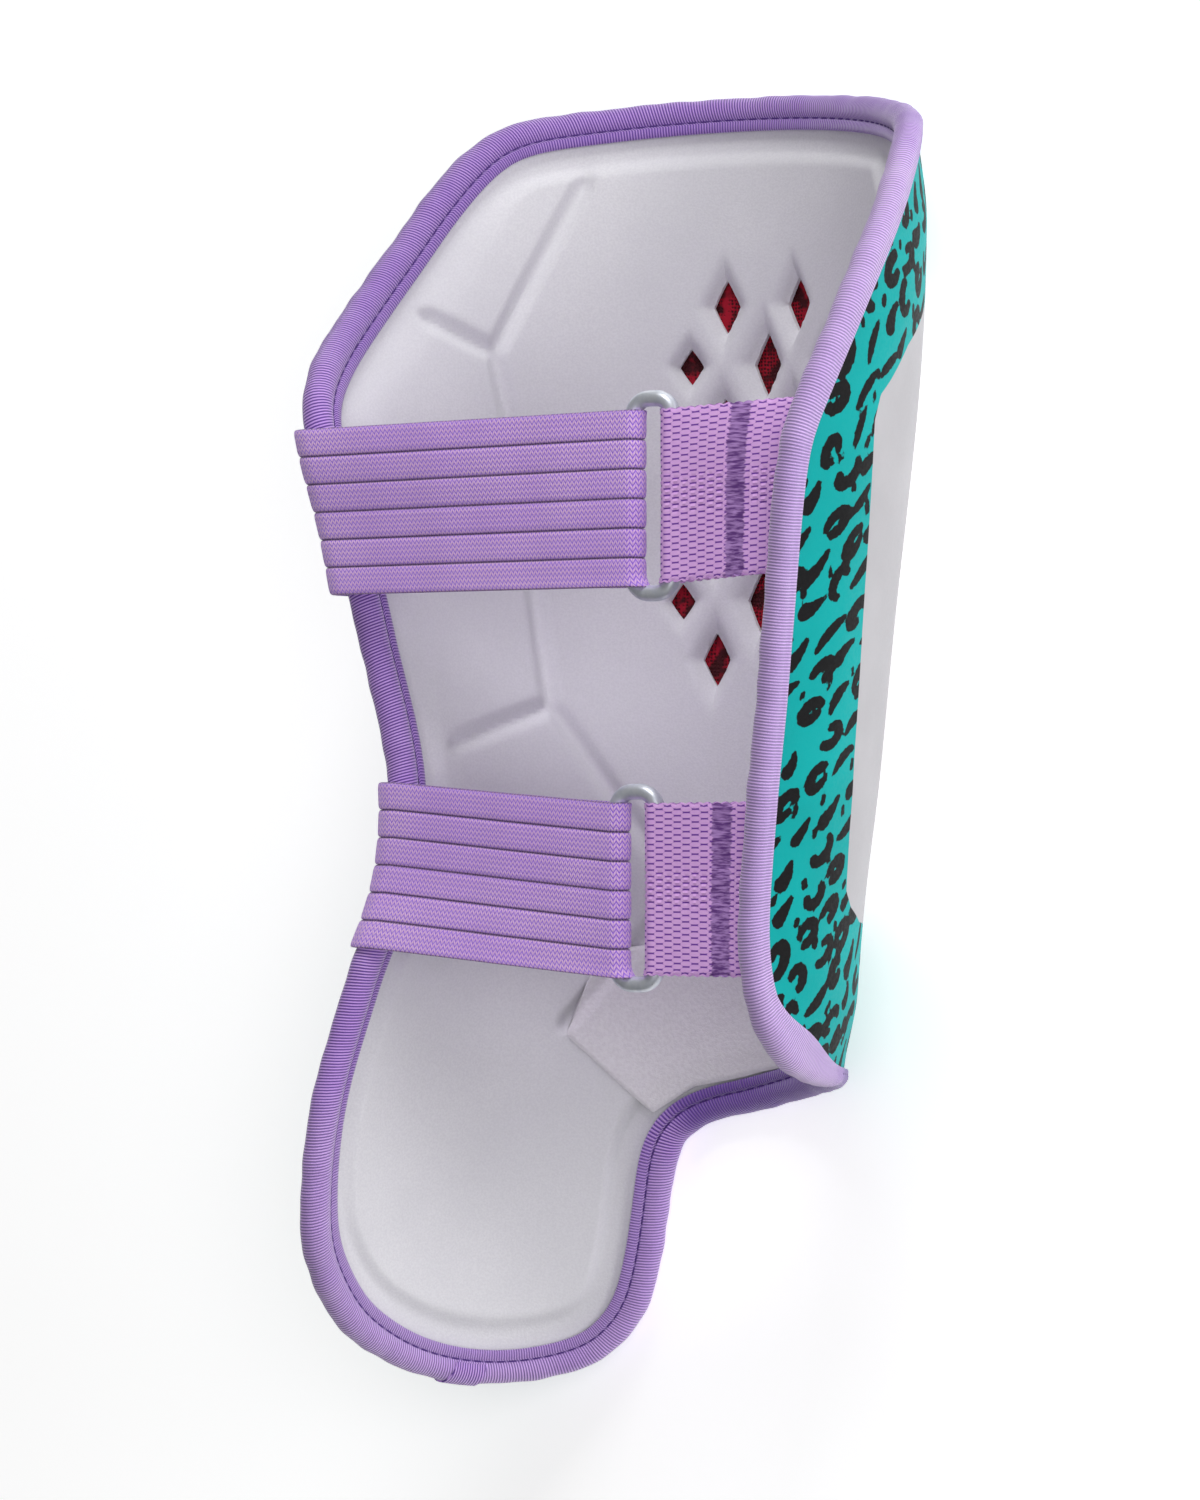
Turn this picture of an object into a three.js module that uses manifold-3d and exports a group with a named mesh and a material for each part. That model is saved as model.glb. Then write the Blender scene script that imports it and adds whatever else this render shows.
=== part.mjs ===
// A batter's leg guard: a padded shin wrap with an ankle flap and a bound edge,
// closed by two ribbed elastic straps that meet two webbing loops at rings.
// Millimetres, +Z up. The guard is shaped upright, with Z along the shin and its
// front at +Y, and is then laid on its front with the straps uppermost.
import * as THREE from 'three';
import Module from 'manifold-3d';

const wasm = await Module();
wasm.setup();

const { degToRad, smoothstep, lerp } = THREE.MathUtils;

// Driving dimensions

// Lifts are measured outward from the padded inner face.
const WALL = {
  borderLift: 2.6, // pressed border along the rim stands back from the padding
  rimTop: 6.7, // outer face at the rim
  fieldTop: 9.4, // outer face over the padding
  shell: 2.2,
  gap: 0.3,
  borderEnd: 14, // distance from the rim where the step up to the padding starts
  stepEnd: 18,
  crown: 26, // distance from the rim where the outer face is at its full height
};

// Elliptical sections of the padded inner face, bottom to top.
const SECTIONS = [
  { z: 0, left: 83, right: 62, depth: 95, axisY: -11 },
  { z: 45, left: 81.5, right: 60, depth: 90.5, axisY: -8 },
  { z: 90, left: 77.5, right: 57.5, depth: 80, axisY: -3 },
  { z: 120, left: 71.5, right: 58.5, depth: 74, axisY: 2 },
  { z: 150, left: 63, right: 61, depth: 72, axisY: 4.5 },
  { z: 182, left: 60.5, right: 66.3, depth: 75.5, axisY: 2.8 },
  { z: 225, left: 68.5, right: 73, depth: 83, axisY: -2.6 },
  { z: 308, left: 82.5, right: 86, depth: 98, axisY: -12.8 },
  { z: 388, left: 88, right: 90, depth: 104, axisY: -19 },
];

// Lines across the guard from its left rim to its right rim, from the flap's tip to the top edge.
// Wraps are degrees round the section from the front; arch bows the line upward in the middle.
const ROWS = [
  { leftWrap: -76, leftZ: 11.5, rightWrap: -34, rightZ: 8, arch: -7 },
  { leftWrap: -86, leftZ: 21, rightWrap: -28.5, rightZ: 16, arch: -4 },
  { leftWrap: -92.5, leftZ: 31, rightWrap: -25.3, rightZ: 25, arch: 0 },
  { leftWrap: -99.5, leftZ: 45, rightWrap: -23, rightZ: 40, arch: 0 },
  { leftWrap: -102.5, leftZ: 58, rightWrap: -21.3, rightZ: 55, arch: 0 },
  { leftWrap: -104.5, leftZ: 70, rightWrap: -19.3, rightZ: 70, arch: 0 },
  { leftWrap: -105.5, leftZ: 79, rightWrap: -15.5, rightZ: 78, arch: 0 },
  { leftWrap: -106, leftZ: 85, rightWrap: -8, rightZ: 82.5, arch: 0 },
  { leftWrap: -106, leftZ: 90.5, rightWrap: 2, rightZ: 85.5, arch: 0 },
  { leftWrap: -106, leftZ: 95.5, rightWrap: 13, rightZ: 88.4, arch: 0 },
  { leftWrap: -106, leftZ: 100.5, rightWrap: 25, rightZ: 91.4, arch: 0 },
  { leftWrap: -106, leftZ: 105.5, rightWrap: 37, rightZ: 94, arch: 0 },
  { leftWrap: -106, leftZ: 110, rightWrap: 49, rightZ: 96, arch: 0 },
  { leftWrap: -106, leftZ: 114.5, rightWrap: 61, rightZ: 97.3, arch: 0 },
  { leftWrap: -106, leftZ: 118.5, rightWrap: 73, rightZ: 98.6, arch: 0 },
  { leftWrap: -105.7, leftZ: 123, rightWrap: 85, rightZ: 102, arch: 0 },
  { leftWrap: -105.5, leftZ: 128, rightWrap: 94, rightZ: 109, arch: 0 },
  { leftWrap: -105, leftZ: 134, rightWrap: 100.5, rightZ: 118, arch: 0 },
  { leftWrap: -103.5, leftZ: 142, rightWrap: 105, rightZ: 130, arch: 0 },
  { leftWrap: -101, leftZ: 155, rightWrap: 107.5, rightZ: 148, arch: 0 },
  { leftWrap: -99, leftZ: 180, rightWrap: 108, rightZ: 180, arch: 0 },
  { leftWrap: -97.5, leftZ: 205, rightWrap: 106.5, rightZ: 205, arch: 0 },
  { leftWrap: -97, leftZ: 230, rightWrap: 105.3, rightZ: 230, arch: 0 },
  { leftWrap: -97, leftZ: 255, rightWrap: 104.5, rightZ: 255, arch: 0 },
  { leftWrap: -99, leftZ: 278, rightWrap: 103, rightZ: 277, arch: 0 },
  { leftWrap: -98, leftZ: 293, rightWrap: 98.5, rightZ: 292, arch: 0 },
  { leftWrap: -91.5, leftZ: 306, rightWrap: 93.5, rightZ: 306, arch: 0.5 },
  { leftWrap: -81.3, leftZ: 322, rightWrap: 87, rightZ: 322, arch: 2 },
  { leftWrap: -71, leftZ: 340, rightWrap: 78, rightZ: 340, arch: 5 },
  { leftWrap: -61, leftZ: 360, rightWrap: 68, rightZ: 357, arch: 8.5 },
  { leftWrap: -51, leftZ: 377, rightWrap: 57, rightZ: 369, arch: 11.2 },
];

const NET = {
  innerColumns: 12,
  rimBands: [0, 8, 14, 18], // distances from the rim along a row
  tipBands: [0.7, 1.35], // places of extra rows beside the tip and the top edge
  topBands: [28.8, 29.5],
};

// Pressed grooves on the left half of the inner face, as wrap and height, mirrored on the right.
const GROOVE = { halfWidth: 4, floorHalf: 0.9, depth: 2.3, proud: 2.2, step: 14 };
const GROOVE_PATHS = [
  [[-35.2, 367.4], [-55.1, 310.3]],
  [[-71.5, 322.5], [-55.1, 310.3], [-53, 275], [-52.7, 237.4], [-51.8, 204.4], [-38.4, 179], [-17.7, 148.5]],
  [[-84, 191.3], [-51.8, 204.4]],
  [[-17.7, 148.5], [-35.9, 120.5], [-44.8, 105.5]],
];

// Diamond vents in a staggered lattice over the front; sizes by column, from the middle outward.
const VENT = { middleWrap: 0.3, middleZ: 270, rowPitch: 17.6, halfPitch: 12.6, rowsEachSide: 3 };
const VENT_SIZES = [
  { width: 8.2, height: 17.2 },
  { width: 7.4, height: 15 },
  { width: 7.2, height: 10.4 },
];
const VENT_FUNNEL = [
  { lift: -1.4, scale: 1.75 },
  { lift: 2.6, scale: 1 },
  { lift: 9, scale: 1 },
];
const MESH = { sheet: 1, pocket: 1.6, firstColumn: 7, lastColumn: 11, lowZ: 205, highZ: 336 };

// Folded tape round the rim: distance from the rim and lift of its section's corners.
const BINDING_SECTION = [
  { inset: 8.2, lift: 0.4 },
  { inset: 8.2, lift: -0.7 },
  { inset: -0.8, lift: 0.6 },
  { inset: -2.5, lift: 2.4 },
  { inset: -2.5, lift: 5.8 },
  { inset: -0.8, lift: 8 },
  { inset: 3, lift: 8.5 },
  { inset: 3, lift: 7.4 },
  { inset: -0.8, lift: 7 },
  { inset: -0.8, lift: 1.9 },
];

const STRAP = {
  width: 48,
  thick: 2,
  ribs: 6,
  ribGroove: 1,
  ribDepth: 0.55,
  tucks: [16, 32], // distances of the folded-back end from the ring's bar
  tuckGap: 0.7,
  turnInset: 2, // centre and radius of the turn over the bound rim
  turnLift: 4.2,
  turnRadius: 7.6,
};
const STRAP_ON_WALL = [
  { inset: 44, lift: 11.2 },
  { inset: 30, lift: 11.3 },
  { inset: 15, lift: 11.8 },
];
const WEBBING = { width: 46.8, thick: 1.5, rise: 0.6 };
const WEBBING_FRONT_END = [
  { inset: 36, lift: -2.0 },
  { inset: 23, lift: -2.0 },
  { inset: 15, lift: -2.2 },
  { inset: 12, lift: -3.8 },
];
const WEBBING_BACK_END = [
  { inset: 16, lift: -5.8 },
  { inset: 19, lift: -4.3 },
  { inset: 23, lift: -3.9 },
  { inset: 36, lift: -3.9 },
];
const RING = { height: 59, width: 17, wire: 4.6, corner: 5.4, sides: 8, cornerSteps: 5, clear: 0.6 };

// Each strap pair: middle height at the left rim and at the ring, and how far along the span the ring is.
const STRAPS = [
  { name: 'upper', leftZ: 262, ringZ: 262, ringShare: 0.712 },
  { name: 'lower', leftZ: 158.2, ringZ: 152, ringShare: 0.679 },
];

// Brushed patch over the front of the ankle: lower and upper edge at each wrap.
const PATCH = { sheet: 1, gap: 1.6, rowsAcross: 4 };
const PATCH_EDGES = [
  { wrap: -42, low: 105.4, high: 107 },
  { wrap: -39, low: 102, high: 122 },
  { wrap: -36, low: 98.8, high: 131 },
  { wrap: -22, low: 82, high: 133 },
  { wrap: -13, low: 90, high: 133 },
  { wrap: 6, low: 95.4, high: 133 },
  { wrap: 25, low: 99, high: 132 },
  { wrap: 46, low: 102, high: 128 },
  { wrap: 66, low: 104.6, high: 120 },
];

// Lying on its front: tilt of the long axis and roll round it.
const REST = { pitch: 2.36, roll: -0.72 };

const FINISH = {
  outer_shell: { color: 0x12b5b3, roughness: 0.45, metalness: 0 },
  liner: { color: 0xc6c3cb, roughness: 0.7, metalness: 0 },
  vent_mesh: { color: 0x7a1228, roughness: 0.8, metalness: 0 },
  edge_binding: { color: 0x9b74cc, roughness: 0.75, metalness: 0 },
  elastic: { color: 0xa57fd8, roughness: 0.85, metalness: 0 },
  webbing: { color: 0xb48ce0, roughness: 0.7, metalness: 0 },
  ring: { color: 0x9a9ea3, roughness: 0.35, metalness: 0.9 },
  ankle_patch: { color: 0xb4b1b6, roughness: 0.95, metalness: 0 },
};

// The wall's surface

// Smooth curve through the values of a table, whose knots rise from row to row.
function tableValue(knots, values, t) {
  const last = knots.length - 1;
  let i = 0;
  while (i < last - 1 && t > knots[i + 1]) i += 1;
  const slopeAt = (k) => {
    const lo = Math.max(k - 1, 0);
    const hi = Math.min(k + 1, last);
    return (values[hi] - values[lo]) / (knots[hi] - knots[lo]);
  };
  const span = knots[i + 1] - knots[i];
  const f = (t - knots[i]) / span;
  const f2 = f * f;
  const f3 = f2 * f;
  const start = (2 * f3 - 3 * f2 + 1) * values[i] + (f3 - 2 * f2 + f) * span * slopeAt(i);
  return start + (3 * f2 - 2 * f3) * values[i + 1] + (f3 - f2) * span * slopeAt(i + 1);
}

const column = (table, key) => table.map((row) => row[key]);
const SECTION_HEIGHTS = column(SECTIONS, 'z');
const ROW_KNOTS = ROWS.map((row, index) => index);

function sectionPoint(wrap, z) {
  const size = (key) => tableValue(SECTION_HEIGHTS, column(SECTIONS, key), z);
  const angle = degToRad(wrap);
  const half = wrap < 0 ? size('left') : size('right');
  return new THREE.Vector3(half * Math.sin(angle), size('axisY') + size('depth') * Math.cos(angle), z);
}

// Directions along the section and up the wall, and the outward normal, at one spot.
function wallFrame(wrap, z) {
  const turn = 0.5;
  const rise = 0.5;
  const along = sectionPoint(wrap + turn, z).sub(sectionPoint(wrap - turn, z)).divideScalar(2 * turn);
  const up = sectionPoint(wrap, z + rise).sub(sectionPoint(wrap, z - rise)).divideScalar(2 * rise);
  const normal = up.clone().cross(along).normalize();
  return { along, up, normal };
}

function wallPoint(wrap, z, lift) {
  return sectionPoint(wrap, z).addScaledVector(wallFrame(wrap, z).normal, lift);
}

// Wrap and height at a share of the way across a row.
function netSpot(across, row) {
  const value = (key) => tableValue(ROW_KNOTS, column(ROWS, key), row);
  const bow = value('arch') * 4 * across * (1 - across);
  return {
    wrap: lerp(value('leftWrap'), value('rightWrap'), across),
    z: lerp(value('leftZ'), value('rightZ'), across) + bow,
  };
}

function rowLength(row) {
  const steps = 24;
  let length = 0;
  for (let k = 0; k < steps; k += 1) {
    const from = netSpot(k / steps, row);
    const to = netSpot((k + 1) / steps, row);
    length += sectionPoint(from.wrap, from.z).distanceTo(sectionPoint(to.wrap, to.z));
  }
  return length;
}

// Shares across a row: narrow bands beside both rims and even columns between them.
function columnShares(row) {
  const length = rowLength(row);
  const bands = NET.rimBands.map((inset) => inset / length);
  const first = bands[bands.length - 1];
  const inner = [];
  for (let k = 1; k < NET.innerColumns; k += 1) inner.push(lerp(first, 1 - first, k / NET.innerColumns));
  return [...bands, ...inner, ...bands.map((share) => 1 - share).reverse()];
}

// Rows of the net: those of the table, with bands in place of the second row at the tip.
function rowPlaces() {
  const tableRows = ROW_KNOTS.filter((place) => place !== 1);
  return [...tableRows, ...NET.tipBands, ...NET.topBands].sort((a, b) => a - b);
}

const netRows = rowPlaces().map((row) => columnShares(row).map((share) => netSpot(share, row)));
const LAST_ROW = netRows.length - 1;
const LAST_COLUMN = netRows[0].length - 1;

// Grid corners once round the rim: up the left side, over the top, down the right and along the tip.
function rimCells() {
  const cells = [];
  for (let j = 0; j < LAST_ROW; j += 1) cells.push([0, j]);
  for (let i = 0; i < LAST_COLUMN; i += 1) cells.push([i, LAST_ROW]);
  for (let j = LAST_ROW; j > 0; j -= 1) cells.push([LAST_COLUMN, j]);
  for (let i = LAST_COLUMN; i > 0; i -= 1) cells.push([i, 0]);
  return cells;
}

const rimSpots = rimCells().map(([i, j]) => netRows[j][i]);
const rimLine = rimSpots.map((spot) => sectionPoint(spot.wrap, spot.z));

function rimDistance(spot) {
  const point = sectionPoint(spot.wrap, spot.z);
  const nearest = new THREE.Vector3();
  let best = Infinity;
  rimLine.forEach((from, k) => {
    const to = rimLine[(k + 1) % rimLine.length];
    new THREE.Line3(from, to).closestPointToPoint(point, true, nearest);
    best = Math.min(best, nearest.distanceTo(point));
  });
  return best;
}

const innerLift = (inset) => WALL.borderLift * (1 - smoothstep(inset, WALL.borderEnd, WALL.stepEnd));
const outerLift = (inset) => lerp(WALL.rimTop, WALL.fieldTop, smoothstep(inset, 0, WALL.crown));
const partingLift = (inset) => outerLift(inset) - WALL.shell - WALL.gap;

// Closed bodies

function bodyGeometry(points, triangles) {
  const geometry = new THREE.BufferGeometry();
  geometry.setAttribute('position', new THREE.Float32BufferAttribute(points.flatMap((p) => p.toArray()), 3));
  geometry.setIndex(triangles);
  geometry.computeVertexNormals();
  return geometry;
}

// A plate between two grids of points of the same size, the second one on the outward side.
function plateGeometry(lower, upper) {
  const rows = lower.length;
  const columns = lower[0].length;
  const points = [...lower.flat(), ...upper.flat()];
  const half = rows * columns;
  const triangles = [];
  const quad = (a, b, c, d) => triangles.push(a, b, c, a, c, d);
  const at = (i, j) => j * columns + i;
  for (let j = 0; j + 1 < rows; j += 1) {
    for (let i = 0; i + 1 < columns; i += 1) {
      const [a, b, c, d] = [at(i, j), at(i, j + 1), at(i + 1, j + 1), at(i + 1, j)];
      quad(a + half, b + half, c + half, d + half);
      quad(a, d, c, b);
    }
  }
  const loop = [];
  for (let j = 0; j < rows - 1; j += 1) loop.push(at(0, j));
  for (let i = 0; i < columns - 1; i += 1) loop.push(at(i, rows - 1));
  for (let j = rows - 1; j > 0; j -= 1) loop.push(at(columns - 1, j));
  for (let i = columns - 1; i > 0; i -= 1) loop.push(at(i, 0));
  loop.forEach((k, index) => {
    const next = loop[(index + 1) % loop.length];
    quad(k, next, next + half, k + half);
  });
  return bodyGeometry(points, triangles);
}

// A body swept through rings of points of equal count, closed on itself or capped at both ends.
function sweepGeometry(rings, closed, capShape = []) {
  const count = rings[0].length;
  const triangles = [];
  const steps = closed ? rings.length : rings.length - 1;
  for (let s = 0; s < steps; s += 1) {
    const here = s * count;
    const there = ((s + 1) % rings.length) * count;
    for (let k = 0; k < count; k += 1) {
      const next = (k + 1) % count;
      triangles.push(here + k, there + k, there + next, here + k, there + next, here + next);
    }
  }
  if (!closed) {
    const lastRing = (rings.length - 1) * count;
    const reversed = THREE.ShapeUtils.isClockWise(capShape);
    THREE.ShapeUtils.triangulateShape(capShape, []).forEach((corners) => {
      const [a, b, c] = reversed ? corners.reverse() : corners;
      triangles.push(a, b, c, lastRing + a, lastRing + c, lastRing + b);
    });
  }
  return bodyGeometry(rings.flat(), triangles);
}

function toSolid(geometry) {
  const vertProperties = new Float32Array(geometry.getAttribute('position').array);
  const triVerts = new Uint32Array(geometry.getIndex().array);
  return new wasm.Manifold(new wasm.Mesh({ numProp: 3, vertProperties, triVerts }));
}

function toGeometry(solid) {
  const { vertProperties, triVerts } = solid.getMesh();
  const geometry = new THREE.BufferGeometry();
  geometry.setAttribute('position', new THREE.Float32BufferAttribute(vertProperties, 3));
  geometry.setIndex([...triVerts]);
  geometry.computeVertexNormals();
  return geometry;
}

// Layers of the wall

const gridAt = (liftOf) =>
  netRows.map((spots, j) => spots.map((spot, i) => wallPoint(spot.wrap, spot.z, liftOf(rimDistance(spot), i, j))));

function inPocket(i, j) {
  const { z } = netRows[j][Math.floor(LAST_COLUMN / 2)];
  return i >= MESH.firstColumn && i <= MESH.lastColumn && z > MESH.lowZ && z < MESH.highZ;
}

function shellGeometry() {
  return plateGeometry(gridAt((inset) => partingLift(inset) + WALL.gap), gridAt(outerLift));
}

function ventMeshGeometry() {
  const inRange = (grid) =>
    grid.map((row, j) => row.filter((point, i) => inPocket(i, j))).filter((row) => row.length > 0);
  const under = gridAt((inset) => partingLift(inset) - MESH.sheet);
  return plateGeometry(inRange(under), inRange(gridAt(partingLift)));
}

// A diamond funnel through the padding at one spot of the vent lattice.
function ventCutter(offset, z, size) {
  const perDegree = wallFrame(VENT.middleWrap, z).along.length();
  const wrap = VENT.middleWrap + offset / perDegree;
  const { along, up, normal } = wallFrame(wrap, z);
  const across = along.clone().normalize();
  const corners = [[-1, 0], [0, -1], [1, 0], [0, 1]];
  const rings = VENT_FUNNEL.map(({ lift, scale }) =>
    corners.map(([x, y]) =>
      sectionPoint(wrap, z)
        .addScaledVector(normal, lift)
        .addScaledVector(across, (x * size.width * scale) / 2)
        .addScaledVector(up.clone().normalize(), (y * size.height * scale) / 2)));
  return sweepGeometry(rings, false, corners.map(([x, y]) => new THREE.Vector2(x, y)));
}

function ventCutters() {
  const cutters = [];
  for (let r = -VENT.rowsEachSide; r <= VENT.rowsEachSide; r += 1) {
    const steps = r % 2 === 0 ? [-2, 0, 2] : [-1, 1];
    steps.forEach((step) => {
      const z = VENT.middleZ + r * VENT.rowPitch;
      cutters.push(ventCutter(step * VENT.halfPitch, z, VENT_SIZES[Math.abs(step)]));
    });
  }
  return cutters;
}

// A trapezoid channel along one groove path, standing a little proud of the padded face.
function grooveCutter(path, side) {
  const spots = [];
  path.slice(1).forEach(([wrap, z], k) => {
    const [fromWrap, fromZ] = path[k];
    const length = sectionPoint(fromWrap, fromZ).distanceTo(sectionPoint(wrap, z));
    const steps = Math.max(1, Math.round(length / GROOVE.step));
    for (let s = k === 0 ? 0 : 1; s <= steps; s += 1) {
      spots.push({ wrap: side * lerp(fromWrap, wrap, s / steps), z: lerp(fromZ, z, s / steps) });
    }
  });
  const section = [
    [-GROOVE.halfWidth, -GROOVE.proud],
    [GROOVE.halfWidth, -GROOVE.proud],
    [GROOVE.floorHalf, GROOVE.depth],
    [-GROOVE.floorHalf, GROOVE.depth],
  ];
  const rings = spots.map((spot, k) => {
    const before = spots[Math.max(k - 1, 0)];
    const after = spots[Math.min(k + 1, spots.length - 1)];
    const ahead = sectionPoint(after.wrap, after.z).sub(sectionPoint(before.wrap, before.z)).normalize();
    const { normal } = wallFrame(spot.wrap, spot.z);
    const across = ahead.cross(normal).normalize();
    return section.map(([x, lift]) =>
      sectionPoint(spot.wrap, spot.z).addScaledVector(across, x).addScaledVector(normal, lift));
  });
  return sweepGeometry(rings, false, section.map(([x, lift]) => new THREE.Vector2(x, lift)));
}

function linerGeometry() {
  const back = gridAt((inset, i, j) => partingLift(inset) - (inPocket(i, j) ? MESH.pocket : 0));
  let solid = toSolid(plateGeometry(gridAt(innerLift), back));
  const grooves = [-1, 1].flatMap((side) => GROOVE_PATHS.map((path) => grooveCutter(path, side)));
  [...ventCutters(), ...grooves].forEach((cutter) => {
    solid = solid.subtract(toSolid(cutter));
  });
  return toGeometry(solid);
}

// The rim tape: its section set square to the rim at each corner of the net.
function bindingGeometry() {
  const count = rimSpots.length;
  const rings = rimSpots.map((spot, k) => {
    const ahead = rimLine[(k + 1) % count].clone().sub(rimLine[(k + count - 1) % count]).normalize();
    const { along, up, normal } = wallFrame(spot.wrap, spot.z);
    const inward = normal.clone().cross(ahead).normalize();
    const wrapRate = inward.dot(along) / along.lengthSq();
    const heightRate = inward.dot(up) / up.lengthSq();
    return BINDING_SECTION.map(({ inset, lift }) =>
      wallPoint(spot.wrap + wrapRate * inset, spot.z + heightRate * inset, lift));
  });
  return sweepGeometry(rings, true);
}

// Straps and rings

// Wrap of the left or right rim at a height above the flap.
function rimWrap(side, z) {
  const key = side < 0 ? 'left' : 'right';
  return tableValue(column(ROWS, `${key}Z`), column(ROWS, `${key}Wrap`), z);
}

// A point beside a rim, at a distance from it along the wall and a lift off the padded face.
function besideRim(side, z, { inset, lift }) {
  const rim = rimWrap(side, z);
  const perDegree = wallFrame(rim, z).along.length();
  return wallPoint(rim - (side * inset) / perDegree, z, lift);
}

function strapStart(z) {
  const { turnInset, turnLift, turnRadius } = STRAP;
  return besideRim(-1, z, { inset: turnInset - turnRadius, lift: turnLift });
}

// The level line from the turn over the left rim to the webbing's seat on the right wall.
function strapLayout({ leftZ, ringZ, ringShare }) {
  const from = strapStart(leftZ);
  const to = besideRim(1, ringZ, WEBBING_FRONT_END[WEBBING_FRONT_END.length - 1]);
  const ahead = to.clone().sub(from).setZ(0).normalize();
  const toOpening = new THREE.Vector3(ahead.y, -ahead.x, 0);
  const centre = from.clone().lerp(to, ringShare).setZ(ringZ);
  return { ahead, toOpening, centre };
}

// Distance of a ring's bars from its middle, at a height on the ring.
function barReach(level) {
  const straight = (RING.height - RING.wire) / 2 - RING.corner;
  const over = Math.max(0, Math.abs(level) - straight);
  return (RING.width - RING.wire) / 2 - RING.corner + Math.sqrt(RING.corner ** 2 - over ** 2);
}

// Half a turn at one height round the left or right bar of a ring, from the opening side to the leg side.
function barTurn(layout, barSide, level, thick) {
  const radius = RING.wire / 2 + RING.clear + thick / 2;
  const turns = [90, 45, 0, -45, -90];
  return turns.map((degrees) => {
    const angle = degToRad(degrees);
    return layout.centre
      .clone()
      .addScaledVector(layout.ahead, barSide * (barReach(level) - radius * Math.cos(angle)))
      .addScaledVector(layout.toOpening, radius * Math.sin(angle))
      .setZ(layout.centre.z + level);
  });
}

// A ribbon through plan points that may differ at each height of its width.
function ribbonGeometry(pathAt, section) {
  const paths = section.map(([level]) => pathAt(level));
  const rings = paths[0].map((unused, k) =>
    section.map(([level, off], index) => {
      const path = paths[index];
      const before = path[Math.max(k - 1, 0)];
      const after = path[Math.min(k + 1, path.length - 1)];
      const ahead = after.clone().sub(before).setZ(0).normalize();
      const right = new THREE.Vector3(ahead.y, -ahead.x, 0);
      return path[k].clone().addScaledVector(right, off);
    }));
  return sweepGeometry(rings, false, section.map(([level, off]) => new THREE.Vector2(level, off)));
}

// Ribbed section of the elastic, as height across the strap and offset from its middle.
function elasticSection() {
  const half = STRAP.width / 2;
  const face = STRAP.thick / 2;
  const section = [[-half, face]];
  for (let k = 1; k < STRAP.ribs; k += 1) {
    const level = -half + (k * STRAP.width) / STRAP.ribs;
    section.push([level - STRAP.ribGroove / 2, face]);
    section.push([level, face - STRAP.ribDepth]);
    section.push([level + STRAP.ribGroove / 2, face]);
  }
  return [...section, [half, face], [half, -face], [-half, -face]];
}

function elasticGeometry(strap) {
  const layout = strapLayout(strap);
  const rimTurn = [90, 60, 30, 0].map((degrees) => ({
    inset: STRAP.turnInset - STRAP.turnRadius * Math.cos(degToRad(degrees)),
    lift: STRAP.turnLift + STRAP.turnRadius * Math.sin(degToRad(degrees)),
  }));
  const pathAt = (level) => {
    const wallPart = [...STRAP_ON_WALL, ...rimTurn].map((place) => besideRim(-1, strap.leftZ + level, place));
    const fold = barTurn(layout, -1, level, STRAP.thick);
    const back = wallPart[wallPart.length - 1].clone().sub(fold[0]).normalize();
    const tuck = STRAP.tucks.map((distance) =>
      fold[0]
        .clone()
        .addScaledVector(back, distance)
        .addScaledVector(layout.toOpening, -(STRAP.thick + STRAP.tuckGap)));
    return [...wallPart, ...fold, ...tuck];
  };
  return ribbonGeometry(pathAt, elasticSection());
}

function webbingGeometry(strap) {
  const layout = strapLayout(strap);
  const half = WEBBING.width / 2;
  const face = WEBBING.thick / 2;
  const section = [[-half, face], [half, face], [half, -face], [-half, -face]];
  const pathAt = (level) => {
    const height = level + WEBBING.rise;
    const onWall = (place) => besideRim(1, strap.ringZ + height, place);
    const fold = barTurn(layout, 1, height, WEBBING.thick);
    return [...WEBBING_FRONT_END.map(onWall), ...fold, ...WEBBING_BACK_END.map(onWall)];
  };
  return ribbonGeometry(pathAt, section);
}

// A closed loop of round wire with straight bars and rounded ends, in the strap's own plane.
function ringGeometry(strap) {
  const { ahead, toOpening, centre } = strapLayout(strap);
  const halfAcross = (RING.width - RING.wire) / 2 - RING.corner;
  const halfUp = (RING.height - RING.wire) / 2 - RING.corner;
  const corners = [[1, 1], [-1, 1], [-1, -1], [1, -1]];
  const rings = corners.flatMap(([x, y], quarter) => {
    const rows = [];
    for (let k = 0; k <= RING.cornerSteps; k += 1) {
      const angle = ((quarter + k / RING.cornerSteps) * Math.PI) / 2;
      const out = ahead.clone().multiplyScalar(Math.cos(angle)).setZ(Math.sin(angle));
      const middle = centre
        .clone()
        .addScaledVector(ahead, x * halfAcross)
        .add(new THREE.Vector3(0, 0, y * halfUp))
        .addScaledVector(out, RING.corner);
      const ring = [];
      for (let s = 0; s < RING.sides; s += 1) {
        const turn = (s / RING.sides) * 2 * Math.PI;
        ring.push(
          middle
            .clone()
            .addScaledVector(out, (RING.wire / 2) * Math.cos(turn))
            .addScaledVector(toOpening, (RING.wire / 2) * Math.sin(turn)));
      }
      rows.push(ring);
    }
    return rows;
  });
  return sweepGeometry(rings, true);
}

// A thin sheet over the padded face between its lower and upper edge, straight across the pressed border.
function patchGeometry() {
  const grids = [PATCH.gap + PATCH.sheet, PATCH.gap].map((stand) => {
    const rows = [];
    for (let k = 0; k <= PATCH.rowsAcross; k += 1) {
      rows.push(PATCH_EDGES.map(({ wrap, low, high }) =>
        wallPoint(wrap, lerp(low, high, k / PATCH.rowsAcross), -stand)));
    }
    return rows;
  });
  return plateGeometry(...grids);
}

// Assembly

function part(name, geometry, finish) {
  const mesh = new THREE.Mesh(geometry, new THREE.MeshStandardMaterial(finish));
  mesh.name = name;
  return mesh;
}

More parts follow.
